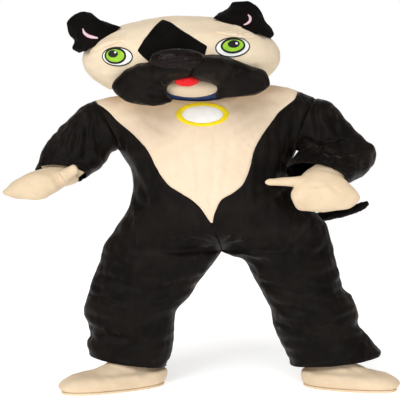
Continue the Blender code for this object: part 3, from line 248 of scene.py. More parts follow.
def halfRing(side, face, share, height):
    body, leg = read(suit["torso"], height), read(suit["leg"][side], height)
    edge = body["left"] if side == leftSide else body["right"]
    depth = body["front"] if face == frontFace else body["back"]
    turn = share * math.pi / 2
    across, ahead = np.clip(np.sin(turn), 0, 1) ** 0.86, np.clip(np.cos(turn), 0, 1) ** 0.86
    bodyX, bodyY = mix(body["centre"], edge, across), face * depth * ahead
    middle = (leg["inner"] + leg["outer"]) / 2
    legX = middle + (leg["inner"] - middle) * np.cos(math.pi * share)
    bulge = np.clip(np.sin(math.pi * share), 0, 1)
    legY = leg["middle"] + face * leg["depth"] * bulge**0.9
    legness = np.clip((suit["seat"] - height) / (suit["seat"] - suit["crotch"]), 0, 1) ** 1.8
    slopeTop = suit["hemSlopeTop"]
    slope = suit["hemSlope"][side] * smooth((slopeTop - height) / (slopeTop - suit["hemHeight"]))
    x = mix(bodyX, legX, legness)
    fold = face * largeFolds(face, x, height) * np.sin(math.pi * np.minimum(1.0, share * (2 - legness)) / 2)
    fold = fold * np.where(legness > 0.5, bulge, np.where(share > 0.5, np.cos(turn), 1.0))
    return point(x, mix(bodyY, legY, legness) + fold, height + slope * (legX - middle))


def topEdge(side, face, share):
    # The neckline, and from necklineShare on the shoulder seam.
    n = suit["necklineShare"]
    neck, end = np.array(suit["neckSide"][side]), np.array(suit["shoulder"][side])
    along = np.clip((share - n) / (1 - n), 0, 1)[..., None]
    shoulder = neck + (end - neck) * along + up * suit["shoulderRise"][side] * np.sin(math.pi * along)
    turn = np.clip(share / n, 0, 1) * math.pi / 2
    rim = point(
        neck[0] * np.sin(turn),
        neck[1] + face * suit["neckDepth"][face] * np.cos(turn),
        mix(suit["neckHeight"][face], neck[2], 1 - np.cos(turn)),
    )
    return np.where((share >= n)[..., None], shoulder, rim)


def armhole(side, face, rise):
    low = halfRing(side, face, np.ones_like(rise), np.full_like(rise, suit["underarm"]))
    high = np.array(suit["shoulder"][side])
    bow, along = np.sin(math.pi * rise), (1 - np.cos(math.pi * rise)) / 2
    return point(
        mix(low[..., 0], high[0], along) - side * suit["armholeInward"] * bow,
        mix(low[..., 1], high[1], along) + face * suit["armholeBow"][face] * bow,
        mix(low[..., 2], high[2], along),
    )


def yoke(side, face, share, rise):
    turn = rise * math.pi / 2
    ahead, above = np.clip(np.cos(turn), 0, 1) ** 0.9, np.clip(np.sin(turn), 0, 1) ** 1.15

    def roll(a, b):
        return point(mix(a[..., 0], b[..., 0], rise), mix(b[..., 1], a[..., 1], ahead),
                     mix(a[..., 2], b[..., 2], above))

    base = np.full_like(share, suit["underarm"])
    one = np.ones_like(share)
    straight = roll(halfRing(side, face, one, base), topEdge(side, face, one))
    place = roll(halfRing(side, face, share, base), topEdge(side, face, share))
    place = place + (armhole(side, face, rise) - straight) * (share**3)[..., None]
    place[..., 1] += face * largeFolds(face, place[..., 0], place[..., 2]) * (1 - share) * np.sin(math.pi * rise)
    return place


def jumpsuit(side, face, share, level):
    # level is a height up to the underarm; above it, 1 m is the whole yoke.
    share, level = np.broadcast_arrays(np.asarray(share, float), np.asarray(level, float))
    low = halfRing(side, face, share, np.minimum(level, suit["underarm"]))
    high = yoke(side, face, share, np.clip(level - suit["underarm"], 0, 1))
    return np.where((level <= suit["underarm"])[..., None], low, high)


def chestShare(side, level):
    low, high = np.zeros_like(level), np.full_like(level, 0.965)
    for _ in range(34):
        middle = (low + high) / 2
        place = jumpsuit(side, frontFace, middle, level)
        edge = read(suit["chestEdge"], place[..., 2])["left" if side == leftSide else "right"]
        inside = (place[..., 0] - edge) * side < 0
        low, high = np.where(inside, middle, low), np.where(inside, high, middle)
    return np.where(level < suit["chestTip"], 0.0, low)


# Meshes. First the pieces that stand for no CAD node.

sewnTrims = ("eye_edge", "eye_iris_edge", "eye_glint")


def normalsOf(points, wrap=False):
    around = np.roll(points, -1, 1) - np.roll(points, 1, 1) if wrap else np.gradient(points, axis=1)
    normal = np.cross(around, np.gradient(points, axis=0))
    return normal / np.maximum(np.linalg.norm(normal, axis=-1, keepdims=True), 1e-12)


def outwardFrom(points, normals, middle):
    # Turns every direction away from this middle.
    flip = ((points - middle) * normals).sum(-1, keepdims=True) < 0
    return np.where(flip, -normals, normals)


def steps(count, ends=0.6):
    # 0 to 1, closer together at both ends, where the seams are.
    t = np.linspace(0, 1, count)
    return t - ends * np.sin(2 * math.pi * t) / (2 * math.pi)


def edgeRoom(points):
    # Metres from each point to the first and last column and the first and last row.
    across = np.linalg.norm(np.diff(points, axis=1), axis=-1)
    along = np.linalg.norm(np.diff(points, axis=0), axis=-1)
    first = np.concatenate([np.zeros((len(points), 1)), np.cumsum(across, 1)], 1)
    bottom = np.concatenate([np.zeros((1, points.shape[1])), np.cumsum(along, 0)], 0)
    return {"first": first, "last": first[:, -1:] - first, "bottom": bottom, "top": bottom[-1:] - bottom}


def seamDip(room, points, seed, deep=0.0030, wide=0.0065, swell=0.0010):
    # The cloth turns in at a sewn edge, a little puckered, with a soft swell beside it.
    uneven = 1 + 0.35 * ripple(points, 0.022, seed)
    return -deep * bump(room, wide) * uneven + swell * bump(room - 2.4 * wide, 1.5 * wide) * uneven


def addToScene(thing):
    bpy.context.scene.collection.objects.link(thing)
    return thing


def makePiece(name, verts, faces, finish):
    mesh = bpy.data.meshes.new(name)
    verts = np.asarray(verts, float) - up * floorDrop
    mesh.from_pydata(verts.tolist(), [], [list(f) for f in faces])
    edit = bmesh.new()
    edit.from_mesh(mesh)
    bmesh.ops.recalc_face_normals(edit, faces=edit.faces)
    if edit.calc_volume(signed=True) < 0:
        bmesh.ops.reverse_faces(edit, faces=edit.faces)
    edit.to_mesh(mesh)
    edit.free()
    mesh.shade_smooth()
    mesh.materials.append(finishes[finish])
    thing = addToScene(bpy.data.objects.new(name + "_cloth", mesh))
    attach(thing, "root")
    if not name.startswith(sewnTrims):
        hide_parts(name)
    area = sum(p.area for p in mesh.polygons) / 2    # half the closed surface is the cloth that shows
    print(f"  {name}: {len(mesh.polygons)} faces, {area:.4f} m2")
    return thing


def wallFaces(rows, columns, wrap=False, tips=False, solid=True):
    count = rows * columns
    index = np.arange(count).reshape(rows, columns)
    if wrap:
        index = np.concatenate([index, index[:, :1]], axis=1)

    def quads(a):
        return np.stack([a[:-1, :-1], a[:-1, 1:], a[1:, 1:], a[1:, :-1]], -1).reshape(-1, 4)

    def rim(line):
        return np.stack([line[:-1], line[:-1] + count, line[1:] + count, line[1:]], -1)

    if not solid:
        return quads(index).tolist()
    faces = quads(index).tolist() + (quads(index)[:, ::-1] + count).tolist() + rim(index[0]).tolist()
    if not tips:
        faces += rim(index[-1][::-1]).tolist()
    if not wrap:
        faces += rim(index[:, 0][::-1]).tolist() + rim(index[:, -1]).tolist()
    if tips:
        for line, tip in ((index[-1], 2 * count), (index[-1] + count, 2 * count + 1)):
            faces += [[int(a), int(b), tip] for a, b in zip(line[:-1], line[1:])]
        if not wrap:
            for c in (0, -1):
                faces.append([int(index[-1][c]), 2 * count, 2 * count + 1, int(index[-1][c]) + count])
    return faces


def wallPiece(name, outer, inner, finish, wrap=False, tips=None):
    # A closed wall between two skins; tips are the points that close its last row.
    verts = [outer.reshape(-1, 3), inner.reshape(-1, 3)] + ([np.array(tips, float)] if tips is not None else [])
    return makePiece(name, np.concatenate(verts), wallFaces(*outer.shape[:2], wrap, tips is not None), finish)


def tubeMesh(rings, ends):
    # A closed skin over rings, with a point at each end.
    rows, columns = rings.shape[:2]
    verts = np.concatenate([rings.reshape(-1, 3), np.array(ends, float)])
    faces = wallFaces(rows, columns, wrap=True, solid=False)
    for row, tip in ((0, rows * columns), (rows - 1, rows * columns + 1)):
        line = [row * columns + c for c in range(columns)] + [row * columns]
        faces += [[a, b, tip] for a, b in zip(line[:-1], line[1:])]
    return verts, faces


def tubePiece(name, rings, finish, ends):
    return makePiece(name, *tubeMesh(rings, ends), finish)


def alongRings(rings, count, ends=0.0):
    # More rings on smooth curves through the given ones, spaced by length along them.
    rings = np.asarray(rings, float)
    gaps = np.linalg.norm(np.diff(rings.mean(1), axis=0), axis=-1)
    gaps = np.maximum(gaps, np.linalg.norm(np.diff(rings, axis=0), axis=-1).mean(1) * 0.6)
    key = np.concatenate([[0], np.cumsum(gaps)])
    return through(rings, key, steps(count, ends) * key[-1])


def fineCreases(points, size, seed, wide=0.24):
    # Thin uneven crease lines, thicker in some places and gone in others.
    return bump(ripple(points, size, seed), wide) * smooth(0.5 + 0.9 * ripple(points, size * 2.1, seed + 1))


def folds(points, normals, rows, seed):
    # Creases along given lines: each a soft trough with a lower ridge beside it, uneven along its length.
    total = np.zeros(points.shape[:-1])
    x, z = points[..., 0], points[..., 2]
    for k, (face, x0, z0, x1, z1, width, depth) in enumerate(zip(*rows.values())):
        facing = smooth(normals[..., 1] * face * 2.2 + 0.25)
        ax, az = x1 - x0, z1 - z0
        long = math.hypot(ax, az)
        along = ((x - x0) * ax + (z - z0) * az) / long**2
        inside = np.clip(along, 0, 1)
        wide = width * (0.75 + 0.45 * np.sin(math.pi * inside) + 0.15 * ripple(points, 0.12, seed + k))
        beside = ((x - x0) * az - (z - z0) * ax) / long + 0.55 * width * ripple(points, 0.17, seed + 50 + k)
        past = (along - inside) * long
        fade = np.sin(math.pi * (0.06 + 0.88 * inside)) ** 0.7
        trough = np.exp(-(beside**2 + past**2) / wide**2)
        ridge = np.exp(-((beside - 1.8 * wide) ** 2 + past**2) / (1.25 * wide) ** 2)
        total += depth * fade * (trough - 0.5 * ridge) * facing
    return total


# Materials.

def nodesFor(name):
    made = bpy.data.materials.new(name)
    made.use_nodes = True
    tree = made.node_tree

    def add(kind, **settings):
        node = tree.nodes.new(kind)
        for key, value in settings.items():
            if key in node.inputs:
                node.inputs[key].default_value = value
            else:
                setattr(node, key, value)
        return node

    return made, tree.links.new, tree.nodes["Principled BSDF"], add


def addTones(add, link, share, first, second):
    # A colour between two, by share.
    tone = add("ShaderNodeMix", data_type="RGBA")
    tone.inputs[6].default_value = (*first, 1)
    tone.inputs[7].default_value = (*second, 1)
    link(share, tone.inputs[0])
    return tone.outputs[2]


def addRange(add, link, value, low, high, start=0.0, end=1.0):
    # start to end becomes low to high.
    node = add("ShaderNodeMapRange", **{"From Min": start, "From Max": end, "To Min": low, "To Max": high})
    link(value, node.inputs["Value"])
    return node.outputs["Result"]


def addBumps(add, link, shader, *layers):
    # Each layer is a height, a strength and a distance; the coarse one comes first.
    under = None
    for height, strength, distance in layers:
        node = add("ShaderNodeBump", Strength=strength, Distance=distance)
        link(height, node.inputs["Height"])
        if under:
            link(under, node.inputs["Normal"])
        under = node.outputs["Normal"]
    link(under, shader.inputs["Normal"])


def fabric(name, look):
    made, link, shader, add = nodesFor(name)
    place = add("ShaderNodeTexCoord").outputs["Object"]
    brushed = add("ShaderNodeTexNoise", Scale=look["patch"], Detail=4.0, Roughness=0.55)
    speck = add("ShaderNodeTexNoise", Scale=look["fibre"], Detail=3.0, Roughness=0.7)
    tuft = add("ShaderNodeTexVoronoi", feature="SMOOTH_F1", Scale=look["tuft"], Smoothness=0.8)
    for node in (brushed, speck, tuft):
        link(place, node.inputs["Vector"])
    share = addRange(add, link, brushed.outputs["Fac"], 0.0, 1.0, 0.38, 0.64)
    fine = addRange(add, link, speck.outputs["Fac"], 1 - look["speckle"], 1 + look["speckle"], 0.3, 0.7)
    shade = add("ShaderNodeVectorMath", operation="MULTIPLY")
    link(addTones(add, link, share, look["colour"], look["second"]), shade.inputs[0])
    link(fine, shade.inputs[1])
    link(shade.outputs["Vector"], shader.inputs["Base Color"])
    addBumps(add, link, shader, (tuft.outputs["Distance"], look["tuftBump"], 0.0022),
             (speck.outputs["Fac"], look["fibreBump"], 0.0012))
    rough = addRange(add, link, speck.outputs["Fac"], look["rough"] - 0.06, min(1.0, look["rough"] + 0.06))
    link(rough, shader.inputs["Roughness"])
    if "streak" in look:
        # Brushed pile: long uneven streaks that catch more light.
        drawn = add("ShaderNodeMapping", Scale=look["streakScale"])
        streak = add("ShaderNodeTexNoise", Scale=1.0, Detail=5.0, Roughness=0.6, Distortion=0.8)
        link(place, drawn.inputs["Vector"])
        link(drawn.outputs["Vector"], streak.inputs["Vector"])
        catch = addRange(add, link, streak.outputs["Fac"], look["sheen"], look["streak"], 0.50, 0.72)
        link(catch, shader.inputs["Sheen Weight"])
    else:
        shader.inputs["Sheen Weight"].default_value = look["sheen"]
    shader.inputs["Sheen Roughness"].default_value = look["sheenRough"]
    shader.inputs["Sheen Tint"].default_value = (*look["sheenTint"], 1)
    shader.inputs["Specular IOR Level"].default_value = look["specular"]
    shader.inputs["Anisotropic"].default_value = look.get("anisotropic", 0.0)
    return made


plushLook = {"patch": 9.0, "fibre": 520.0, "tuft": 210.0, "speckle": 0.16, "tuftBump": 0.35, "fibreBump": 0.45,
             "rough": 0.90, "sheenRough": 0.45, "specular": 0.15}
creamLook = {**plushLook, "sheen": 0.12, "sheenTint": (1.0, 0.93, 0.82), "speckle": 0.06}
feltLook = {"fibre": 620.0, "tuft": 330.0, "speckle": 0.08, "tuftBump": 0.10, "fibreBump": 0.30,
            "rough": 0.8, "sheen": 0.05, "sheenRough": 0.5, "specular": 0.25}
satinLook = {"fibre": 1400.0, "tuft": 700.0, "tuftBump": 0.05, "fibreBump": 0.06, "sheenRough": 0.3}
clothLooks = {
    "black_plush": {**plushLook, "colour": (0.0030, 0.0021, 0.0016), "second": (0.0070, 0.0050, 0.0040),
                    "sheen": 0.02, "streak": 0.42, "streakScale": (30.0, 30.0, 10.0), "sheenTint": (0.62, 0.50, 0.44),
                    "specular": 0.075, "rough": 0.46},
    "black_smooth": {**plushLook, "colour": (0.0032, 0.0027, 0.0024), "second": (0.0060, 0.0050, 0.0044),
                     "sheen": 0.01, "streak": 0.10, "streakScale": (20.0, 20.0, 12.0), "sheenTint": (0.55, 0.46, 0.42),
                     "specular": 0.05},
    "cream_plush": {**creamLook, "colour": (0.78, 0.63, 0.47), "second": (0.74, 0.59, 0.43), "sheen": 0.18,
                    "speckle": 0.05},
    "cream_fleece": {**creamLook, "colour": (0.74, 0.585, 0.405), "second": (0.68, 0.53, 0.355)},
    "cream_head": {**creamLook, "colour": (0.84, 0.70, 0.515), "second": (0.77, 0.63, 0.45)},
    # The chin's cream is the head's cream made darker: painted shade, for the shade under the muzzle.
    "cream_chin": {**creamLook, "colour": (0.64, 0.52, 0.37), "second": (0.58, 0.465, 0.325)},
    "cream_shoe": {**creamLook, "colour": (0.77, 0.61, 0.43), "second": (0.70, 0.545, 0.375)},
    "blue_satin": {**satinLook, "colour": (0.006, 0.026, 0.115), "second": (0.009, 0.040, 0.165), "patch": 22.0,
                   "speckle": 0.05, "rough": 0.34, "sheen": 0.03, "sheenTint": (0.4, 0.5, 0.9),
                   "specular": 0.30, "anisotropic": 0.4},
    "yellow_felt": {**feltLook, "colour": (0.93, 0.74, 0.012), "second": (0.88, 0.67, 0.010), "patch": 30.0,
                    "speckle": 0.07, "tuftBump": 0.12, "fibreBump": 0.35, "rough": 0.85, "sheen": 0.08,
                    "sheenTint": (1.0, 0.9, 0.4)},
    "white_felt": {**feltLook, "colour": (0.90, 0.90, 0.88), "second": (0.85, 0.85, 0.83), "patch": 25.0,
                   "speckle": 0.03, "rough": 0.85, "sheenTint": (1.0, 1.0, 1.0)},
    "green_felt": {**feltLook, "colour": (0.34, 0.62, 0.045), "second": (0.26, 0.53, 0.030), "patch": 45.0,
                   "sheenTint": (0.7, 1.0, 0.4)},
    "red_felt": {**feltLook, "colour": (0.80, 0.016, 0.020), "second": (0.66, 0.010, 0.014), "patch": 40.0,
                 "sheen": 0.06, "sheenTint": (1.0, 0.4, 0.4)},
    "pink_satin": {**satinLook, "colour": (0.82, 0.56, 0.62), "second": (0.74, 0.46, 0.54), "patch": 30.0,
                   "speckle": 0.04, "rough": 0.42, "sheen": 0.10, "sheenTint": (1.0, 0.8, 0.85), "specular": 0.5},
    "black_felt": {**feltLook, "colour": (0.006, 0.006, 0.006), "second": (0.012, 0.012, 0.012), "patch": 40.0,
                   "speckle": 0.10, "rough": 0.75, "sheen": 0.04, "sheenTint": (0.6, 0.6, 0.6), "specular": 0.3},
}
finishes = {name: fabric(name + "_visual", look) for name, look in clothLooks.items()}


def vinyl(name, look):
    made, link, shader, add = nodesFor(name)
    place = add("ShaderNodeTexCoord").outputs["Object"]
    squash = add("ShaderNodeMapping", Scale=(1.0, 1.0, 2.2))
    crumple = add("ShaderNodeTexNoise", Scale=look["crumple"], Detail=5.0, Roughness=0.6, Distortion=0.7)
    grain = add("ShaderNodeTexVoronoi", feature="DISTANCE_TO_EDGE", Scale=look["grain"])
    link(place, squash.inputs["Vector"])
    link(squash.outputs["Vector"], crumple.inputs["Vector"])
    link(place, grain.inputs["Vector"])
    # The base colour goes from black to brown along the crumples: the brown is a painted reflection, the warm shine
    # along the nose's creases.
    link(addTones(add, link, crumple.outputs["Fac"], look["colour"], look["second"]), shader.inputs["Base Color"])
    addBumps(add, link, shader, (crumple.outputs["Fac"], 0.8, 0.004), (grain.outputs["Distance"], 0.15, 0.0008))
    link(addRange(add, link, crumple.outputs["Fac"], 0.09, 0.34, 0.35, 0.65), shader.inputs["Roughness"])
    shader.inputs["Coat Weight"].default_value = 0.03
    shader.inputs["Coat Roughness"].default_value = 0.10
    shader.inputs["Specular IOR Level"].default_value = 0.10
    return made


# The nose's black, and as second the brown of its painted reflection.
vinylLook = {"colour": (0.0010, 0.0008, 0.0008), "second": (0.0130, 0.0066, 0.0050), "crumple": 38.0, "grain": 900.0}
finishes["black_vinyl"] = vinyl("black_vinyl_visual", vinylLook)
print("materials made")


# Jumpsuit panels.

panelCut = {
    "rows": 150, "chestRows": 52, "yokeRows": 44, "columns": {frontFace: 66, backFace: 74}, "chestColumns": 110,
    "start": 0.112, "seed": {frontFace: 100, backFace: 200}, "legTop": 0.70, "legBlend": 0.15, "calmEdge": 0.03,
    # Gathers at the crotch, drag lines at hips and knees, and long soft lines down the sides.
    "frontFolds": creases((frontFace, [
        (0.100, 0.672, -0.060, 0.742, 0.011, -0.0060),
        (0.098, 0.660, -0.130, 0.690, 0.013, -0.0065),
        (0.100, 0.650, -0.180, 0.628, 0.014, -0.0050),
        (0.102, 0.645, -0.110, 0.560, 0.013, -0.0045),
        (0.108, 0.672, 0.235, 0.760, 0.011, -0.0065),
        (0.110, 0.658, 0.330, 0.700, 0.012, -0.0060),
        (0.112, 0.648, 0.360, 0.632, 0.013, -0.0055),
        (0.110, 0.640, 0.300, 0.560, 0.012, -0.0045),
        (-0.330, 0.905, -0.200, 0.780, 0.018, -0.0045),
        (-0.300, 1.000, -0.235, 0.860, 0.016, -0.0040),
        (-0.395, 0.760, -0.300, 0.560, 0.020, -0.0050),
        (-0.340, 0.700, -0.210, 0.500, 0.022, -0.0040),
        (-0.490, 0.520, -0.300, 0.470, 0.016, -0.0060),
        (-0.080, 0.500, -0.260, 0.430, 0.016, -0.0060),
        (-0.500, 0.440, -0.330, 0.385, 0.014, -0.0060),
        (-0.090, 0.430, -0.270, 0.360, 0.013, -0.0055),
        (-0.520, 0.350, -0.360, 0.300, 0.015, -0.0050),
        (-0.140, 0.330, -0.300, 0.280, 0.014, -0.0045),
        (-0.480, 0.260, -0.300, 0.215, 0.012, -0.0040),
        (-0.200, 0.225, -0.370, 0.175, 0.012, -0.0035),
        (0.390, 0.900, 0.250, 0.800, 0.018, -0.0045),
        (0.420, 0.985, 0.275, 0.900, 0.016, -0.0045),
        (0.520, 0.770, 0.400, 0.620, 0.020, -0.0050),
        (0.580, 0.650, 0.430, 0.560, 0.018, -0.0050),
        (0.610, 0.540, 0.420, 0.500, 0.016, -0.0060),
        (0.260, 0.480, 0.450, 0.440, 0.015, -0.0060),
        (0.660, 0.445, 0.480, 0.390, 0.014, -0.0060),
        (0.320, 0.400, 0.500, 0.340, 0.014, -0.0055),
        (0.710, 0.350, 0.540, 0.290, 0.014, -0.0050),
        (0.370, 0.290, 0.550, 0.235, 0.013, -0.0045),
        (0.780, 0.255, 0.600, 0.200, 0.012, -0.0040),
    ])),
    "chestFolds": creases((frontFace, [
        (-0.016, 1.185, -0.006, 0.815, 0.011, -0.0042),
        (0.068, 1.165, 0.050, 0.850, 0.013, -0.0036),
        (0.138, 1.150, 0.098, 0.900, 0.015, -0.0040),
        (-0.085, 1.120, -0.050, 0.930, 0.015, -0.0026),
        (-0.250, 1.240, -0.130, 1.150, 0.020, -0.0035),
        (0.260, 1.260, 0.160, 1.170, 0.020, -0.0035),
        (-0.360, 1.290, -0.220, 1.275, 0.016, -0.0030),
        (0.230, 1.330, 0.360, 1.300, 0.016, -0.0030),
        (0.040, 0.900, 0.060, 0.790, 0.010, -0.0035),
    ])),
    "backFolds": creases((backFace, [
        (0.090, 0.690, -0.080, 0.740, 0.014, -0.0060),
        (0.090, 0.670, -0.180, 0.660, 0.015, -0.0060),
        (0.090, 0.655, -0.150, 0.590, 0.014, -0.0050),
        (0.110, 0.690, 0.270, 0.750, 0.014, -0.0060),
        (0.110, 0.668, 0.370, 0.660, 0.015, -0.0060),
        (0.110, 0.652, 0.340, 0.580, 0.014, -0.0050),
        (-0.280, 0.985, 0.000, 0.955, 0.020, -0.0055),
        (0.360, 0.975, 0.080, 0.945, 0.020, -0.0050),
        (-0.300, 0.880, -0.060, 0.895, 0.018, -0.0055),
        (0.420, 0.865, 0.120, 0.885, 0.020, -0.0050),
        (-0.340, 1.180, -0.160, 1.040, 0.020, -0.0050),
        (0.400, 1.190, 0.210, 1.050, 0.020, -0.0050),
        (-0.200, 1.290, -0.090, 1.170, 0.018, -0.0035),
        (0.230, 1.310, 0.110, 1.180, 0.018, -0.0035),
        (-0.400, 0.770, -0.250, 0.620, 0.020, -0.0050),
        (0.560, 0.740, 0.400, 0.600, 0.020, -0.0050),
        (-0.490, 0.500, -0.240, 0.460, 0.017, -0.0060),
        (-0.070, 0.450, -0.290, 0.400, 0.016, -0.0055),
        (-0.500, 0.400, -0.280, 0.345, 0.016, -0.0060),
        (-0.150, 0.320, -0.340, 0.270, 0.015, -0.0050),
        (-0.490, 0.265, -0.300, 0.215, 0.014, -0.0040),
        (0.640, 0.500, 0.400, 0.465, 0.017, -0.0060),
        (0.290, 0.440, 0.500, 0.400, 0.016, -0.0055),
        (0.690, 0.400, 0.470, 0.340, 0.016, -0.0060),
        (0.350, 0.320, 0.560, 0.270, 0.015, -0.0050),
        (0.760, 0.270, 0.560, 0.215, 0.014, -0.0040),
    ])),
    "hem": 0.028, "hemProud": 0.0009, "stitchDip": 0.0016, "creaseDeeper": {"black_plush": 1.7, "cream_plush": 1.15},
    "flatSeam": {"x": 0.099, "halfWidth": 0.055, "halfHeight": 0.075, "fade": 0.03},
}


def levelsFrom(start, rows):
    low = np.linspace(start, suit["underarm"], rows)
    if start < suit["chestTip"]:
        low[np.argmin(np.abs(low - suit["chestTip"]))] = suit["chestTip"]
    return np.concatenate([low, suit["underarm"] + steps(panelCut["yokeRows"] + 1, 0.4)[1:]])


def hemShape(room):
    # A turned hem: a little proud, with a row of stitches pulled in along its upper edge.
    band, stitches = smooth((panelCut["hem"] - room) / 0.003), bump(room - panelCut["hem"], 0.0028)
    return panelCut["hemProud"] * band - panelCut["stitchDip"] * stitches - 0.0012 * bump(room, 0.0025)


def clothPanel(name, blocks, creaseRows, finish, seed, hem=False):
    # Each block is (side, face, share array, level array), and they lie side by side.
    points = np.concatenate([jumpsuit(*block) for block in blocks], axis=1)
    normals = normalsOf(points)
    if (normals[..., 1] * blocks[0][1]).mean() < 0:
        normals = -normals
    room = edgeRoom(points)
    out = folds(points, normals, creaseRows, seed) * panelCut["creaseDeeper"][finish]
    out += 0.0016 * ripple(points, 0.10, seed + 7) + 0.0008 * ripple(points, 0.045, seed + 8)
    if finish == "black_plush":
        # The legs bunch up in flat folds, and the body hangs in upright ones.
        low = smooth((panelCut["legTop"] - points[..., 2]) / panelCut["legBlend"])
        across, down = points * [1.0, 1.0, 2.8], points * [2.6, 1.0, 0.8]
        out += low * (0.0030 * ripple(across, 0.150, seed + 9) - 0.0032 * fineCreases(across, 0.260, seed + 10))
        out += (1 - low) * (0.0026 * ripple(down, 0.150, seed + 12) - 0.0042 * fineCreases(down, 0.240, seed + 13))
    sewn = ("first", "last", "top")
    near = np.minimum.reduce([room[edge] for edge in sewn])
    out *= smooth(near / panelCut["calmEdge"]) * 0.75 + 0.25
    # The seam between the legs lies flat, so that no light shows through it.
    flat = panelCut["flatSeam"]
    above, aside = np.abs(points[..., 2] - suit["crotch"]), np.abs(points[..., 0] - flat["x"])
    crotch = smooth((flat["halfHeight"] - above) / flat["fade"]) * smooth((flat["halfWidth"] - aside) / flat["fade"])
    out = out * (1 - crotch) + 0.0010 * crotch
    for number, edge in enumerate(sewn):
        out += seamDip(room[edge], points, seed + 20 + number) * (1 - crotch)
    if hem:
        out += hemShape(room["bottom"])
    outer = points + normals * out[..., None]
    return wallPiece(name, outer, outer - normals * cloth, finish)


def sidePanel(side, face):
    # A front runs from the pale chest to the side seam, a back from the centre-back seam.
    level = levelsFrom(panelCut["start"], panelCut["rows"])
    start = chestShare(side, level) if face == frontFace else np.zeros_like(level)
    share = mix(start[:, None], 1.0, steps(panelCut["columns"][face])[None, :])
    levels = np.repeat(level[:, None], share.shape[1], 1)
    word, seed = ("front" if face == frontFace else "back"), panelCut["seed"][face] + side
    block = (side, face, share, levels)
    return clothPanel(word + "_" + sideWord[side], [block], panelCut[word + "Folds"], "black_plush", seed, hem=True)


def chestPanel():
    level = levelsFrom(suit["chestTip"], panelCut["chestRows"])
    t = steps(panelCut["chestColumns"]) * 2 - 1
    blocks = []
    for side in sides:
        part = -t[t < 0] if side == rightSide else t[t > 0]
        share = chestShare(side, level)[:, None] * part[None, :]
        blocks.append((side, frontFace, share, np.repeat(level[:, None], len(part), 1)))
    return clothPanel("chest_front", blocks, panelCut["chestFolds"], "cream_plush", 300)


chest = chestPanel()
for side in sides:
    sidePanel(side, frontFace)
    sidePanel(side, backFace)
print("jumpsuit panels made")


# Sleeves.

armColumns = "number x y z out_x out_y out_z front_x front_y front_z"
sleeveCut = {
    rightSide: table(
        armColumns,
        (1, -0.4875, -0.008, 1.1655, -0.0790, 0.0, 0.0935, 0.0, -0.105, 0.000),
        (2, -0.5345, -0.020, 1.108, -0.1045, 0.0, 0.0780, 0.0, -0.113, 0.010),
        (3, -0.5870, -0.040, 1.054, -0.1170, 0.0, 0.0585, 0.0, -0.110, 0.025),
        (4, -0.6100, -0.052, 1.018, -0.1180, 0.0, 0.0340, 0.0, -0.102, 0.036),
        (5, -0.6180, -0.057, 1.005, -0.1180, 0.0, 0.0250, 0.0, -0.098, 0.038),
        (6, -0.6320, -0.065, 0.980, -0.1170, 0.0, 0.0100, 0.0, -0.090, 0.042),
    ),
    leftSide: table(
        armColumns,
        (1, 0.5340, -0.005, 1.188, 0.066, 0.000, 0.114, 0.000, -0.103, 0.000),
        (2, 0.5730, -0.008, 1.143, 0.0950, 0.000, 0.082, 0.005, -0.108, 0.010),
        (3, 0.6080, -0.010, 1.103, 0.130, 0.010, 0.041, 0.014, -0.100, 0.030),
        (4, 0.6290, -0.018, 1.066, 0.172, 0.034, 0.012, 0.020, -0.082, 0.058),
        (5, 0.6040, -0.075, 1.022, 0.172, 0.010, -0.017, 0.016, -0.062, 0.068),
        (6, 0.5700, -0.132, 1.000, 0.147, -0.017, -0.024, 0.015, -0.052, 0.060),
        (7, 0.5480, -0.160, 0.989, 0.131, -0.024, -0.025, 0.014, -0.047, 0.055),
        (8, 0.5400, -0.169, 0.985, 0.127, -0.026, -0.025, 0.014, -0.045, 0.054),
        (9, 0.5240, -0.190, 0.976, 0.117, -0.030, -0.025, 0.013, -0.041, 0.051),
    ),
    "columns": 120, "rows": 80, "band": 0.0018, "bandLength": 0.030, "deeper": 1.6,
    # The bent sleeve's inner side sags by this much below these x, y and z, each with the length it fades over.
    "sag": (-0.026, -0.010, 0.004), "sagBelow": ((0.550, 0.08), (0.005, 0.03), (1.120, 0.04)),
    "folds": creases((frontFace, [
        (-0.485, 1.290, -0.520, 1.060, 0.013, -0.0070),
        (-0.500, 1.285, -0.575, 1.070, 0.014, -0.0075),
        (-0.510, 1.275, -0.630, 1.080, 0.014, -0.0060),
        (-0.470, 1.250, -0.470, 1.120, 0.012, -0.0050),
        (-0.440, 1.110, -0.560, 1.040, 0.014, -0.0050),
        (-0.640, 1.120, -0.690, 1.040, 0.013, -0.0040),
    ]), (backFace, [
        (-0.490, 1.285, -0.530, 1.070, 0.015, -0.0060),
        (-0.505, 1.280, -0.600, 1.080, 0.015, -0.0060),
        (-0.520, 1.265, -0.650, 1.085, 0.015, -0.0050),
        (-0.450, 1.120, -0.590, 1.040, 0.015, -0.0050),
    ]), (frontFace, [
        (0.520, 1.300, 0.545, 1.090, 0.013, -0.0065),
        (0.560, 1.290, 0.640, 1.110, 0.014, -0.0055),
        (0.480, 1.140, 0.600, 1.080, 0.014, -0.0060),
        (0.520, 1.080, 0.660, 1.070, 0.013, -0.0060),
        (0.620, 1.060, 0.740, 1.090, 0.012, -0.0055),
        (0.650, 1.030, 0.770, 1.020, 0.012, -0.0050),
        (0.590, 1.030, 0.700, 0.960, 0.011, -0.0045),
    ]), (backFace, [
        (0.520, 1.300, 0.560, 1.100, 0.015, -0.0060),
        (0.550, 1.290, 0.660, 1.120, 0.015, -0.0060),
        (0.500, 1.130, 0.640, 1.070, 0.015, -0.0055),
        (0.620, 1.110, 0.780, 1.060, 0.014, -0.0050),
    ])),
}


def ovalRings(rows, turns):
    middle, out, ahead = (np.stack([rows[column] for column in names.split()], -1)[:, None]
                          for names in ("x y z", "out_x out_y out_z", "front_x front_y front_z"))
    return middle - out * np.cos(turns)[None, :, None] + ahead * np.sin(turns)[None, :, None]


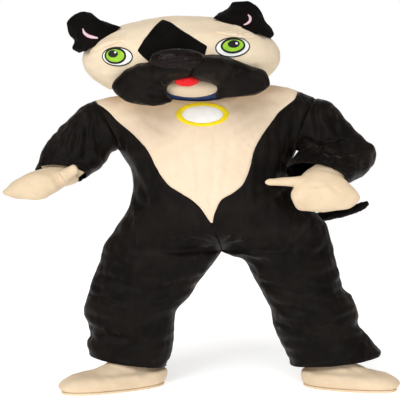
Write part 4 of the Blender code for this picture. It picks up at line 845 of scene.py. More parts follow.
def frontAndBack(turns, make):
    # A ring of the jumpsuit that goes up the front and back down the back; make gives either face.
    inFront = turns <= math.pi
    share = np.where(inFront, turns, 2 * math.pi - turns) / math.pi
    return np.where(inFront[:, None], make(frontFace, share), make(backFace, share))


def sleeveRings(side, columns):
    # Turn 0 is the underarm, and a quarter turn on is the front.
    turns = turnsRound(columns)
    first = frontAndBack(turns, lambda face, rise: armhole(side, face, rise))
    return np.concatenate([first[None], ovalRings(sleeveCut[side], turns)])


def sleevePiece(side):
    points = alongRings(sleeveRings(side, sleeveCut["columns"]), sleeveCut["rows"], 0.3)
    normals = outwardFrom(points, normalsOf(points, wrap=True), points.mean(1, keepdims=True))
    room = edgeRoom(points)
    out = folds(points, normals, sleeveCut["folds"], 400 + side) * sleeveCut["deeper"]
    fan = points * [2.4, 1.0, 1.0]
    out += 0.0028 * ripple(fan, 0.150, 440 + side) - 0.0045 * fineCreases(fan, 0.230, 450 + side)
    out += 0.0015 * ripple(points, 0.09, 410 + side) + 0.0008 * ripple(points, 0.04, 420 + side)
    out *= smooth(room["bottom"] / 0.03) * 0.8 + 0.2
    out += seamDip(room["bottom"], points, 430 + side)
    band = sleeveCut["bandLength"]
    out += sleeveCut["band"] * smooth((band - room["top"]) / 0.003) - 0.0018 * bump(room["top"] - band, 0.003)
    out -= 0.0012 * bump(room["top"], 0.0025)
    outer = points + normals * out[..., None]
    if side == leftSide:
        limits = enumerate(sleeveCut["sagBelow"])
        inX, inY, inZ = (smooth((limit - outer[..., axis]) / fade) for axis, (limit, fade) in limits)
        outer = outer + (inZ * inX * inY)[..., None] * sleeveCut["sag"]
    wallPiece("sleeve_" + sideWord[side], outer, outer - normals * cloth, "black_plush", wrap=True)


for side in sides:
    sleevePiece(side)
print("sleeves made")


# Mitts.

mittCut = {
    rightSide: table(
        armColumns,
        (1, -0.622, -0.072, 0.990, -0.085, 0.00, 0.012, 0.00, -0.060, 0.034),
        (2, -0.648, -0.130, 0.968, -0.098, 0.00, 0.014, 0.00, -0.046, 0.036),
        (3, -0.6875, -0.178, 0.955, -0.0860, 0.00, 0.024, 0.00, -0.055, 0.024),
        (4, -0.735, -0.200, 0.928, -0.082, 0.00, 0.032, 0.00, -0.056, 0.010),
        (5, -0.778, -0.208, 0.900, -0.078, 0.00, 0.027, 0.00, -0.047, 0.004),
        (6, -0.809, -0.211, 0.884, -0.067, 0.00, 0.014, 0.00, -0.028, 0.000),
    ),
    leftSide: table(
        armColumns,
        (1, 0.545, -0.196, 0.971, 0.080, -0.026, -0.020, 0.010, -0.032, 0.040),
        (2, 0.550, -0.226, 0.955, 0.106, -0.014, -0.018, 0.008, -0.046, 0.034),
        (3, 0.554, -0.248, 0.928, 0.132, 0.000, -0.012, 0.004, -0.055, 0.012),
        (4, 0.552, -0.252, 0.895, 0.152, 0.000, -0.004, 0.000, -0.055, 0.004),
        (5, 0.555, -0.252, 0.862, 0.143, 0.000, 0.004, 0.000, -0.050, 0.000),
        (6, 0.548, -0.250, 0.832, 0.112, 0.000, 0.004, 0.000, -0.034, 0.000),
    ),
    "tip": {rightSide: (-0.826, -0.212, 0.874), leftSide: (0.545, -0.249, 0.816)},
    "thumb": {
        rightSide: ((-0.545, -0.185, 1.012), (-0.615, -0.190, 0.970), 0.022, 0.030),
        leftSide: ((0.285, -0.255, 0.951), (0.475, -0.245, 0.955), 0.014, 0.026),
    },
    "folds": creases((frontFace, [
        (-0.795, 0.925, -0.695, 0.880, 0.008, -0.0045),
        (-0.770, 0.955, -0.700, 0.925, 0.009, -0.0030),
        (-0.660, 0.985, -0.620, 0.930, 0.010, -0.0035),
        (-0.600, 0.985, -0.640, 0.955, 0.008, -0.0045),
        (0.475, 0.935, 0.540, 0.940, 0.008, -0.0045),
        (0.430, 0.880, 0.480, 0.900, 0.009, -0.0035),
        (0.560, 0.950, 0.620, 0.900, 0.010, -0.0035),
        (0.600, 0.850, 0.660, 0.880, 0.010, -0.0030),
    ]), (backFace, [
        (-0.770, 0.930, -0.690, 0.890, 0.010, -0.0040),
        (0.480, 0.900, 0.620, 0.920, 0.012, -0.0040),
    ])),
    "voxel": 0.0042, "columns": 60, "rows": 60, "tuckRow": 55, "tuckRoom": 0.004, "cuffCap": 0.010,
}


def capsuleRings(end, root, thin, thick, columns=40, rows=40):
    end, root = np.array(end, float), np.array(root, float)
    way = root - end
    long = np.linalg.norm(way)
    way = way / long
    one = np.cross(way, [0, 1, 0])
    one /= np.linalg.norm(one)
    two = np.cross(way, one)
    share = steps(rows, 0.7)
    roundEnd = np.sqrt(np.clip(1 - (1 - np.clip(share / 0.16, 0, 1)) ** 2, 0.02, 1))
    radius = mix(thin, thick, share) * roundEnd
    turns = turnsRound(columns)
    ring = one[None] * np.cos(turns)[:, None] + two[None] * np.sin(turns)[:, None]
    return end + way * (share * long)[:, None, None] + ring[None] * radius[:, None, None]


def joinAndRemesh(parts, voxel, smoothing):
    # One closed skin round several closed forms, evenly meshed and softened where they meet.
    edit = bmesh.new()
    for verts, faces in parts:
        made = [edit.verts.new(v) for v in verts.tolist()]
        for face in faces:
            edit.faces.new([made[i] for i in face])
    bmesh.ops.recalc_face_normals(edit, faces=edit.faces)
    mesh = bpy.data.meshes.new("parts")
    edit.to_mesh(mesh)
    edit.free()
    thing = addToScene(bpy.data.objects.new("parts", mesh))
    change = thing.modifiers.new("remesh", "REMESH")
    change.mode = "VOXEL"
    change.voxel_size = voxel
    soften = thing.modifiers.new("soften", "SMOOTH")
    soften.factor = 0.5
    soften.iterations = smoothing
    bpy.context.view_layer.update()
    made = bpy.data.meshes.new_from_object(thing.evaluated_get(bpy.context.evaluated_depsgraph_get()))
    bpy.data.objects.remove(thing)
    verts = np.array([v.co for v in made.vertices])
    normals = np.array([v.normal for v in made.vertices])
    faces = [list(p.vertices) for p in made.polygons]
    bpy.data.meshes.remove(made)
    return verts, normals, faces


def mittPiece(side):
    sleeveEnd = alongRings(sleeveRings(side, mittCut["columns"]), mittCut["rows"])
    normals = outwardFrom(sleeveEnd, normalsOf(sleeveEnd, wrap=True), sleeveEnd.mean(1, keepdims=True))
    tuck = mittCut["tuckRow"]
    cuff = sleeveEnd[tuck] - normals[tuck] * (cloth + mittCut["tuckRoom"])
    hand = np.concatenate([cuff[None], ovalRings(mittCut[side], turnsRound(mittCut["columns"]))])
    tip = np.array(mittCut["tip"][side])
    last = tip + (hand[-1] - tip) * 0.45
    hand = alongRings(np.concatenate([hand, last[None]]), mittCut["rows"])
    cuffMiddle = cuff.mean(0)
    way = hand[6].mean(0) - cuffMiddle
    way /= np.linalg.norm(way)
    thumb = capsuleRings(*mittCut["thumb"][side])
    parts = [tubeMesh(hand, (cuffMiddle, tip)), tubeMesh(thumb, (thumb[0].mean(0), thumb[-1].mean(0)))]
    verts, ways, faces = joinAndRemesh(parts, mittCut["voxel"], 6)
    out = folds(verts, ways, mittCut["folds"], 500 + side) + 0.0012 * ripple(verts, 0.07, 510 + side)
    # The seam round the edge of the hand, where the front and back pieces meet.
    middles = hand.mean(1)
    order = np.argsort(middles[:, 0] * side)
    seamY = np.interp(verts[:, 0] * side, middles[order, 0] * side, middles[order, 1])
    out -= 0.0016 * bump(np.abs(verts[:, 1] - seamY), 0.004) * (np.abs(ways[:, 1]) < 0.75)
    verts = verts + ways * out[:, None]
    # The cuff's cap comes off, and the skin gets the cloth's thickness inwards.
    keep = (verts - (cuffMiddle + way * mittCut["cuffCap"])) @ way > 0
    faces = [f for f in faces if all(keep[i] for i in f)]
    shellPiece("mitt_" + sideWord[side], verts, faces, ways, cloth, "cream_fleece")


def shellPiece(name, verts, faces, normals, thick, finish):
    # A thin shell: the skin, the same skin moved in, and a rim round every open edge.
    used = sorted({i for f in faces for i in f})
    new = {old: k for k, old in enumerate(used)}
    faces = [[new[i] for i in f] for f in faces]
    verts, normals = verts[used], normals[used]
    count = len(verts)
    edges = {}
    for f in faces:
        for a, b in zip(f, f[1:] + f[:1]):
            edges[(a, b)] = edges.get((a, b), 0) + 1
    rim = [[b, a, a + count, b + count] for (a, b) in edges if (b, a) not in edges]
    inner = [[i + count for i in reversed(f)] for f in faces]
    return makePiece(name, np.concatenate([verts, verts - normals * thick]), faces + inner + rim, finish)


for side in sides:
    mittPiece(side)
print("mitts made")


# Shoe covers.

shoeCut = {
    "rows": table(
        "number toe heel half_width toe_height heel_height",
        (0, 0.318, 0.188, 0.112, 0.012, 0.012),
        (1, 0.330, 0.200, 0.124, 0.037, 0.042),
        (2, 0.282, 0.198, 0.116, 0.068, 0.070),
        (3, 0.182, 0.165, 0.080, 0.086, 0.076),
        (4, 0.088, 0.108, 0.050, 0.120, 0.102),
    ),
    "ankle": {rightSide: (-0.340, -0.070, 0), leftSide: (0.612, -0.055, 0)},
    "toeWay": {rightSide: (-0.86, -0.51, 0), leftSide: (0.92, -0.39, 0)},
    "reach": {rightSide: (1.0, 1.0), leftSide: (0.94, 0.72)},
    "sole": 0.0117, "tuck": 0.18, "tuckRoom": 0.003, "columns": 110, "rings": 56,
    # The sole's edge from the ground up, inwards and upwards; soleTop counts down from the top.
    "soleEdge": ((-0.0035, 0.0), (-0.001, 0.0009), (0.0, 0.003)),
    "soleTop": ((0.0, 0.0035), (-0.0012, 0.0012), (-0.0045, 0.0003)),
    "folds": creases((frontFace, [
        (-0.470, 0.125, -0.330, 0.095, 0.010, -0.0040),
        (-0.500, 0.105, -0.400, 0.060, 0.011, -0.0035),
        (-0.300, 0.110, -0.230, 0.060, 0.011, -0.0035),
        (-0.410, 0.085, -0.330, 0.045, 0.010, -0.0030),
        (0.570, 0.120, 0.690, 0.095, 0.010, -0.0040),
        (0.650, 0.110, 0.760, 0.060, 0.011, -0.0035),
        (0.540, 0.110, 0.500, 0.060, 0.011, -0.0035),
        (0.610, 0.085, 0.690, 0.050, 0.010, -0.0030),
    ]), (backFace, [
        (-0.260, 0.110, -0.210, 0.060, 0.012, -0.0035),
        (0.560, 0.110, 0.520, 0.060, 0.012, -0.0035),
    ])),
}


def shoeWays(side):
    toe = np.array(shoeCut["toeWay"][side], float)
    toe /= np.linalg.norm(toe)
    return toe, np.array([toe[1], -toe[0], 0])


def shoeRings(side):
    turns = turnsRound(shoeCut["columns"])
    toe, across = shoeWays(side)
    across = -across if across[1] > 0 else across
    toeReach, heelReach = shoeCut["reach"][side]
    place = -np.cos(turns)
    rings = []
    for toeAt, heelAt, halfWidth, toeHeight, heelHeight in zip(*list(shoeCut["rows"].values())[1:]):
        reach = np.where(place > 0, toeAt * toeReach, heelAt * heelReach)
        height = mix(heelHeight, toeHeight, (place + 1) / 2)
        width = halfWidth * np.sign(np.sin(turns)) * np.abs(np.sin(turns)) ** 0.85
        ring = np.array(shoeCut["ankle"][side]) + toe * (reach * place)[:, None]
        rings.append(ring + across * width[:, None] + up * height[:, None])
    # The cover's top is tucked into the trouser hem.
    below, top = (frontAndBack(turns, lambda face, share: jumpsuit(side, face, share, np.full_like(share, level)))
                  for level in (shoeCut["tuck"] - 0.01, shoeCut["tuck"]))
    normal = unit(np.cross(np.roll(top, -1, 0) - np.roll(top, 1, 0), top - below))
    normal = outwardFrom(top, normal, top.mean(0))
    rings.append(top - normal * (cloth + shoeCut["tuckRoom"]))
    return np.array(rings)


def shoePieces(side):
    points = alongRings(shoeRings(side), shoeCut["rings"], 0.2)
    normals = outwardFrom(points, normalsOf(points, wrap=True), points.mean(1, keepdims=True))
    room = edgeRoom(points)
    out = folds(points, normals, shoeCut["folds"], 600 + side) + 0.0018 * ripple(points, 0.08, 610 + side)
    out *= smooth(room["bottom"] / 0.02) * smooth(room["top"] / 0.04)
    out += seamDip(room["bottom"], points, 620 + side, deep=0.0022, wide=0.004)
    across = np.abs((points - np.array(shoeCut["ankle"][side])) @ shoeWays(side)[1])
    out -= 0.0014 * bump(across, 0.0035) * smooth(room["bottom"] / 0.02)    # seam over the toe and heel
    outer = points + normals * out[..., None]
    wallPiece("shoe_upper_" + sideWord[side], outer, outer - normals * cloth, "cream_shoe", wrap=True)
    base = points[0]
    middle = base.mean(0)
    ways = base - middle
    ways[:, 2] = 0
    ways = unit(ways)
    thick = shoeCut["sole"]
    profile = shoeCut["soleEdge"] + tuple((inset, thick - down) for inset, down in shoeCut["soleTop"])
    edge = np.array([base * [1, 1, 0] + ways * inset + up * height for inset, height in profile])
    hub = [middle * [1, 1, 0], middle * [1, 1, 0] + up * profile[-1][1]]
    fill = [hub[0] + (edge[0] - hub[0]) * s for s in (0.35, 0.7, 0.92)]
    fillTop = [hub[1] + (edge[-1] - hub[1]) * s for s in (0.92, 0.7, 0.35)]
    tubePiece("shoe_sole_" + sideWord[side], np.array(fill + list(edge) + fillTop), "cream_shoe", hub)


for side in sides:
    shoePieces(side)
print("shoe covers made")


# Head shell.

headCut = {
    "middle": (-0.084, -0.070, 1.500), "half": (0.446, 0.280, 0.188), "roll": math.radians(1.4),
    "neckTilt": math.radians(4.6), "underside": 0.78, "lowestTurn": math.radians(133), "rimHeight": 1.356,
    "rimInset": 0.004,
    "rows": 104, "rimRows": 16, "folds": creases((frontFace, [
        (-0.500, 1.450, -0.380, 1.440, 0.012, -0.0035),
        (-0.505, 1.430, -0.400, 1.405, 0.012, -0.0035),
        (-0.470, 1.400, -0.330, 1.370, 0.012, -0.0030),
        (-0.440, 1.520, -0.500, 1.490, 0.010, -0.0025),
        (0.340, 1.500, 0.240, 1.480, 0.012, -0.0025),
        (0.330, 1.455, 0.200, 1.440, 0.012, -0.0025),
        (0.250, 1.620, 0.330, 1.570, 0.014, -0.0025),
        (-0.300, 1.640, -0.200, 1.655, 0.014, -0.0020),
    ])),
}
headMiddle, headHalf = np.array(headCut["middle"]), np.array(headCut["half"])
headRoll = np.array(Matrix.Rotation(-headCut["roll"], 3, "Y"))


def neckPoint(turn, inset=0.0):
    neck = suit["neckSide"][leftSide]
    depth = np.where(np.cos(turn) > 0, suit["neckDepth"][frontFace], suit["neckDepth"][backFace])
    x = (neck[0] - inset) * np.sin(turn)
    y = neck[1] - (depth - inset) * np.cos(turn)
    return point(x, y, headCut["rimHeight"] + math.tan(headCut["neckTilt"]) * (x - headMiddle[0]))


def headPoint(turn, drop):
    # From the crown, drop 0, round under the jaw to the neck hole, drop 1.
    turn, drop = np.broadcast_arrays(turn, drop)
    lat = np.minimum(drop, headCut["underside"]) / headCut["underside"] * headCut["lowestTurn"]
    local = point(headHalf[0] * np.sin(lat) * np.sin(turn), -headHalf[1] * np.sin(lat) * np.cos(turn),
                  headHalf[2] * np.cos(lat))
    place = headMiddle + local @ headRoll.T
    share = np.clip((drop - headCut["underside"]) / (1 - headCut["underside"]), 0, 1)[..., None]
    return mix(place, neckPoint(turn, headCut["rimInset"]), share)


def headPanel(name, first, last, columns):
    drops = np.concatenate([np.linspace(1.0, 0.80, headCut["rimRows"]), np.linspace(0.78, 0.012, headCut["rows"])])
    turns = mix(first, last, steps(columns, 0.5))
    points = headPoint(turns[None, :], drops[:, None])
    normals = outwardFrom(points, normalsOf(points), headMiddle)
    room = edgeRoom(points)
    out = folds(points, normals, headCut["folds"], 700)
    out = out + 0.0022 * ripple(points, 0.16, 705) + 0.0008 * ripple(points, 0.05, 706)
    for edge in ("first", "last"):
        out += seamDip(room[edge], points, 710) * smooth(drops[:, None] / 0.06)
    outer = points + normals * out[..., None]
    crown = headPoint(np.array(0.0), np.array(0.0)) + up * out[-1].mean()
    middle = (first + last) / 2
    crown = crown + np.array([math.sin(middle), -math.cos(middle), 0]) * seam
    return wallPiece(name, outer, outer - normals * foam, "cream_head", tips=(crown, crown - up * foam))


quarter = math.pi / 2
headFace = headPanel("head_face", -quarter, quarter, 150)
headPanel("head_back_left", quarter, 2 * quarter, 76)
headPanel("head_back_right", 2 * quarter, 3 * quarter, 76)
print("head shell made")


def treeOf(thing):
    # For finding the surface under a place seen from the front, in heights from the ground.
    verts = [Vector(v.co) + Vector((0, 0, floorDrop)) for v in thing.data.vertices]
    return BVHTree.FromPolygons(verts, [list(p.vertices) for p in thing.data.polygons])


def surfaceUnder(tree, x, z):
    shape = np.shape(x)
    spots, ways = [], []
    for a, b in zip(np.ravel(x), np.ravel(z)):
        hit, normal, _, _ = tree.ray_cast(Vector((a, -2.0, b)), Vector((0, 1, 0)))
        if hit is None:
            hit, normal, _, _ = tree.find_nearest(Vector((a, -0.3, b)))
        spots.append(hit)
        ways.append(normal)
    return np.array(spots).reshape(*shape, 3), np.array(ways).reshape(*shape, 3)


def ovalLine(x, z, halfX, halfZ, tilt, count):
    turns = 2 * math.pi * np.arange(count) / count
    a, b = halfX * np.cos(turns), halfZ * np.sin(turns)
    return np.stack([x + a * math.cos(tilt) - b * math.sin(tilt), z + a * math.sin(tilt) + b * math.cos(tilt)], -1)


def laidPiece(name, tree, outline, low, high, finish, edge, rings, middle=None, lift=None):
    # A cut piece lying on a surface, its edge rounded down.
    outline = np.asarray(outline, float)
    middle = outline.mean(0) if middle is None else np.array(middle)
    share = 1 - steps(rings, 0.6) * 0.97
    flat = middle + (outline - middle)[None] * share[:, None, None]
    spots, ways = surfaceUnder(tree, flat[..., 0], flat[..., 1])
    for _ in range(3):
        ways = (ways + np.roll(ways, 1, 1) + np.roll(ways, -1, 1)) / 3
    ways = unit(ways)
    rise = np.sqrt(np.clip(1 - (1 - np.clip((1 - share) / edge, 0, 1)) ** 2, 0.0, 1))
    height = (low + (high - low) * (0.25 + 0.75 * rise))[:, None] + (0.0 if lift is None else lift(spots))
    top, under = spots + ways * height[..., None], spots + ways * low
    return wallPiece(name, top, under, finish, wrap=True, tips=(top[-1].mean(0), under[-1].mean(0)))


headTree = treeOf(headFace)

patchCut = {
    "outline": ((-0.167, 1.664), (-0.205, 1.620), (-0.240, 1.570), (-0.270, 1.522), (-0.250, 1.500), (-0.215, 1.470),
                (-0.150, 1.440), (-0.065, 1.430), (-0.005, 1.455), (0.020, 1.500), (0.032, 1.540), (-0.020, 1.572),
                (-0.080, 1.612), (-0.130, 1.650)),
    "middle": (-0.120, 1.535), "high": 0.0038,
}


def sharpCurve(outline, count, rounding=0.16):
    # A closed line that keeps its corners, only a little rounded.
    corners = np.array(outline, float)
    n = len(corners)
    fine = []
    each = max(2, count // n)
    for k in range(n):
        a, b, c = corners[k - 1], corners[k], corners[(k + 1) % n]
        start, end = b + (a - b) * rounding, b + (c - b) * rounding
        for i in range(each // 2):
            s = i / (each // 2)
            fine.append((1 - s) ** 2 * start + 2 * s * (1 - s) * b + s * s * end)
        nextStart = c + (b - c) * rounding
        for i in range(each - each // 2):
            fine.append(end + (nextStart - end) * i / (each - each // 2))
    return np.array(fine)


laidPiece("head_patch", headTree, sharpCurve(patchCut["outline"], 140), seam, patchCut["high"], "black_smooth",
          edge=0.05, rings=26, middle=patchCut["middle"], lift=lambda spots: 0.0007 * ripple(spots, 0.05, 750))

eyeCut = {
    # Each oval is its middle, x and z, and its half width and half height.
    rightSide: {"tilt": -4, "white": (-0.3576, 1.4980, 0.0706, 0.0414), "iris": (-0.3655, 1.5018, 0.0442, 0.0305),
                "pupil": (-0.3750, 1.5095, 0.0218, 0.0153), "glint": (-0.3650, 1.5150, 0.0048, 0.0044)},
    leftSide: {"tilt": 6, "white": (0.1406, 1.5373, 0.0780, 0.0434), "iris": (0.1415, 1.5434, 0.0495, 0.0289),
               "pupil": (0.1441, 1.5500, 0.0260, 0.0163), "glint": (0.1560, 1.5520, 0.0055, 0.0050)},
}


def threadLoop(name, tree, outline, height, radius, finish):
    # A thin sewn line laid round a shape.
    spots, ways = surfaceUnder(tree, outline[:, 0], outline[:, 1])
    centre = spots + ways * height
    across = np.cross(unit(np.roll(centre, -1, 0) - np.roll(centre, 1, 0)), ways)
    turns = turnsRound(8)
    ring = across[:, None] * np.cos(turns)[None, :, None] * 1.5 + ways[:, None] * np.sin(turns)[None, :, None] * 0.7
    rings = centre[:, None] + ring * radius
    index = np.arange(rings.shape[0] * rings.shape[1]).reshape(rings.shape[:2])
    index = np.concatenate([index, index[:1]], 0)
    index = np.concatenate([index, index[:, :1]], 1)
    faces = np.stack([index[:-1, :-1], index[:-1, 1:], index[1:, 1:], index[1:, :-1]], -1).reshape(-1, 4).tolist()
    return makePiece(name, rings.reshape(-1, 3), faces, finish)


# Each cloth of an eye: its finish, the corners of its outline, and the heights of its underside and top.
eyeLayers = {"white": ("white_felt", 96, seam, 0.0022), "iris": ("green_felt", 84, 0.0025, 0.0042),
             "pupil": ("black_felt", 64, 0.0045, 0.0060)}
for side, eye in eyeCut.items():
    word, tilt = sideWord[side], math.radians(eye["tilt"])
    lines = {kind: ovalLine(*eye[kind], tilt, corners) for kind, (_, corners, _, _) in eyeLayers.items()}
    for kind, (finish, _, low, high) in eyeLayers.items():
        laidPiece(f"eye_{kind}_{word}", headTree, lines[kind], low, high, finish, edge=0.06, rings=14)
    glint, centre = ovalLine(*eye["glint"], 0, 32), np.array(eye["white"][:2])
    laidPiece(f"eye_glint_{word}", headTree, glint, 0.0062, 0.0070, "white_felt", edge=0.2, rings=6)
    threadLoop(f"eye_edge_{word}", headTree, centre + (lines["white"] - centre) * 0.945, 0.0024, 0.0019, "black_felt")
    threadLoop(f"eye_iris_edge_{word}", headTree, lines["iris"], 0.0042, 0.0030, "black_felt")
print("patch and eyes made")


def stripGrid(rows, across, count):
    # Places over a curved strip, from its middle line and half widths: along by across.
    line = np.array(rows, float)
    key = np.concatenate([[0], np.cumsum(np.linalg.norm(np.diff(line[:, :2], axis=0), axis=-1))])
    fine = through(line, key, np.linspace(0, key[-1], count))
    along = unit(np.gradient(fine[:, :2], axis=0))
    aside = np.stack([-along[:, 1], along[:, 0]], -1)
    v = np.linspace(-1, 1, across)
    return fine[:, None, :2] + aside[:, None] * (fine[:, 2:3] * v[None, :])[..., None], v, np.linspace(0, 1, count)


browCut = {
    # The middle line of each lid, x and z, and its half width.
    rightSide: ((-0.484, 1.526, 0.004), (-0.450, 1.538, 0.011), (-0.410, 1.554, 0.013), (-0.366, 1.566, 0.010),
                (-0.322, 1.572, 0.004)),
    leftSide: ((0.060, 1.606, 0.004), (0.100, 1.598, 0.009), (0.150, 1.592, 0.012), (0.200, 1.589, 0.013),
               (0.245, 1.585, 0.004)),
    "padding": 0.0125, "rows": 20, "columns": 56,
}
for side in sides:
    grid, v, u = stripGrid(browCut[side], browCut["rows"], browCut["columns"])
    spots, ways = surfaceUnder(headTree, grid[..., 0], grid[..., 1])
    rise = np.clip(1 - v**2, 0, 1)[None, :] ** 0.35 * np.sin(math.pi * np.clip(u, 0.02, 0.98))[:, None] ** 0.5
    rise = rise * (1 - 0.75 * bump(v[None, :] - 0.30 * np.sin(u * 4)[:, None], 0.16))    # a crease along the lid
    uneven = 0.9 + 0.15 * ripple(spots, 0.03, 760 + side)
    top = spots + ways * (0.0012 + browCut["padding"] * rise * uneven)[..., None]
    wallPiece("brow_" + sideWord[side], top, spots + ways * seam, "cream_head")
print("brows made")


# What stands on the face: muzzle, nose, chin, tongue, ears.

skinRoom = 0.0006    # kept free between the head's skin and a padded piece


def clearHead(points, room):
    # Points inside the head come out to just over its skin.
    local = (points - headMiddle) @ headRoll / (headHalf + room)
    reach = np.linalg.norm(local, axis=-1, keepdims=True)
    moved = headMiddle + (local / np.maximum(reach, 1e-6) * (headHalf + room)) @ headRoll.T
    return np.where(reach < 1, moved, points)


def headFront(x, z):
    local = np.stack([x - headMiddle[0], 0 * x, z - headMiddle[2]], -1) @ headRoll
    rest = 1 - (local[..., 0] / headHalf[0]) ** 2 - (local[..., 2] / headHalf[2]) ** 2
    return headMiddle[1] - headHalf[1] * np.sqrt(np.maximum(0.16, rest))


jowlCut = {
    "mouth": (-0.0385, 1.310),
    "rows": table(
        "angle inner outer padding",
        (4, 0.103, 0.222, 0.034),
        (5, 0.107, 0.290, 0.046),
        (12, 0.111, 0.352, 0.062),
        (20, 0.118, 0.350, 0.076),
        (30, 0.120, 0.298, 0.088),
        (45, 0.112, 0.250, 0.094),
        (60, 0.098, 0.223, 0.096),
        (75, 0.093, 0.195, 0.094),
        (90, 0.090, 0.171, 0.090),
        (105, 0.093, 0.182, 0.094),
        (120, 0.098, 0.197, 0.096),
        (135, 0.112, 0.236, 0.096),
        (150, 0.117, 0.292, 0.090),
        (160, 0.112, 0.326, 0.080),
        (170, 0.102, 0.350, 0.066),
        (180, 0.084, 0.292, 0.052),
        (185, 0.090, 0.222, 0.042),
        (189, 0.118, 0.172, 0.030),
    ),
    "span": {leftSide: (4.0, 89.8), rightSide: (189.0, 90.2)},
    "y": -0.265, "back": 0.055, "fill": 0.75, "degree": 57.3, "seamArm": 0.13,
    "folds": creases((frontFace, [
        (-0.085, 1.415, -0.200, 1.400, 0.012, -0.0045),
        (-0.130, 1.360, -0.280, 1.340, 0.014, -0.0045),
        (-0.150, 1.320, -0.260, 1.290, 0.012, -0.0040),
        (-0.330, 1.400, -0.250, 1.330, 0.012, -0.0035),
        (0.010, 1.420, 0.130, 1.410, 0.012, -0.0045),
        (0.060, 1.370, 0.210, 1.350, 0.014, -0.0045),
        (0.110, 1.330, 0.240, 1.320, 0.012, -0.0035),
        (0.270, 1.390, 0.200, 1.420, 0.012, -0.0035),
    ])),
}


def stuffedPiece(name, rings, finish):
    # A padded form on the head, its ends kept out of it too.
    thing = tubePiece(name, rings, finish, [clearHead(rings[i].mean(0)[None], skinRoom)[0] for i in (0, -1)])
    return thing


def jowlPiece(side):
    start, end = jowlCut["span"][side]
    angles = mix(start, end, steps(90, 0.55))
    row = read(jowlCut["rows"], angles)
    turn = np.radians(angles)
    spoke = point(np.cos(turn), 0 * turn, np.sin(turn))
    mouth = np.array([jowlCut["mouth"][0], 0, jowlCut["mouth"][1]])
    middle = mouth + spoke * ((row["inner"] + row["outer"]) / 2)[:, None]
    middle[:, 1] = np.minimum(jowlCut["y"], headFront(middle[:, 0], np.maximum(middle[:, 2], 1.40)))
    half = (row["outer"] - row["inner"]) / 2
    # At the seam under the nose the two halves turn in towards each other.
    fromSeam = np.abs(angles - end) / jowlCut["degree"] * jowlCut["seamArm"]
    tuckIn = 1 - 0.22 * bump(fromSeam, 0.010)
    cosA, sinA = np.cos(turnsRound(64)), np.sin(turnsRound(64))
    depth = np.where(sinA[None, :] > 0, row["padding"][:, None], jowlCut["back"])
    rings = (middle[:, None] + spoke[:, None] * (half * tuckIn)[:, None, None] * cosA[None, :, None]
             - np.array([0, 1, 0]) * (depth * tuckIn[:, None] * sinA[None, :])[..., None])
    normals = outwardFrom(rings, normalsOf(rings, wrap=True), middle[:, None])
    out = folds(rings, normals, jowlCut["folds"], 800 + side)
    out = out + 0.0020 * ripple(rings, 0.075, 810 + side) - 0.0030 * fineCreases(rings, 0.170, 812 + side)
    rings = clearHead(rings + normals * out[..., None], skinRoom)
    stuffedPiece("jowl_" + sideWord[side], rings, "black_plush")


def puffRings(middle, half, power, columns=72, rows=56):
    lat = math.pi * (np.arange(rows) + 0.5) / rows
    turn = turnsRound(columns)
    ring = np.sin(lat) ** power
    return np.array(middle) + np.stack([
        np.repeat((half[0] * np.cos(lat))[:, None], columns, 1),
        half[1] * ring[:, None] * np.cos(turn)[None, :],
        half[2] * ring[:, None] * np.sin(turn)[None, :],
    ], -1)


def puffPiece(name, cut, finish, seed, lumps):
    middle, room = np.array(cut["middle"]), cut.get("room", skinRoom)
    rings = puffRings(middle, cut["half"], cut.get("power", 1.0))
    normals = outwardFrom(rings, normalsOf(rings, wrap=True), middle)
    out = sum(deep * ripple(rings, size, seed + k) for k, (size, deep) in enumerate(lumps))
    if "folds" in cut:
        out = out + folds(rings, normals, cut["folds"], seed)
    rings = clearHead(rings + normals * out[..., None], room)
    ends = [clearHead((middle + np.array([s * cut["half"][0], 0, 0]))[None], room)[0] for s in (1, -1)]
    tubePiece(name, rings, finish, ends)


for side in sides:
    jowlPiece(side)
noseCut = {"middle": (-0.0960, -0.392, 1.478), "half": (0.117, 0.058, 0.051), "power": 0.8, "room": 0.0045,
           "fill": 0.8, "folds": creases((frontFace, [
    (-0.190, 1.505, -0.030, 1.512, 0.006, -0.0035),
    (-0.200, 1.488, -0.070, 1.498, 0.006, -0.0030),
    (-0.130, 1.470, 0.000, 1.482, 0.007, -0.0030),
    (-0.180, 1.458, -0.090, 1.448, 0.006, -0.0025),
]))}
puffPiece("nose", noseCut, "black_vinyl", 820, ((0.045, 0.0015), (0.018, 0.0007)))
chinCut = {"middle": (-0.037, -0.262, 1.366), "half": (0.120, 0.066, 0.043),
           "fill": 0.7, "folds": creases((frontFace, [
    (-0.110, 1.352, -0.040, 1.335, 0.008, -0.0025),
    (0.030, 1.355, -0.010, 1.330, 0.008, -0.0025),
]))}
# The chin gets the darker cream, a painted shade for the shade under the muzzle.
puffPiece("head_chin", chinCut, "cream_chin", 830, ((0.05, 0.0012),))
tongueCut = {"middle": (-0.058, -0.335, 1.392), "half": (0.052, 0.034, 0.024), "fill": 0.6}
puffPiece("tongue", tongueCut, "red_felt", 840, ((0.03, 0.0006),))

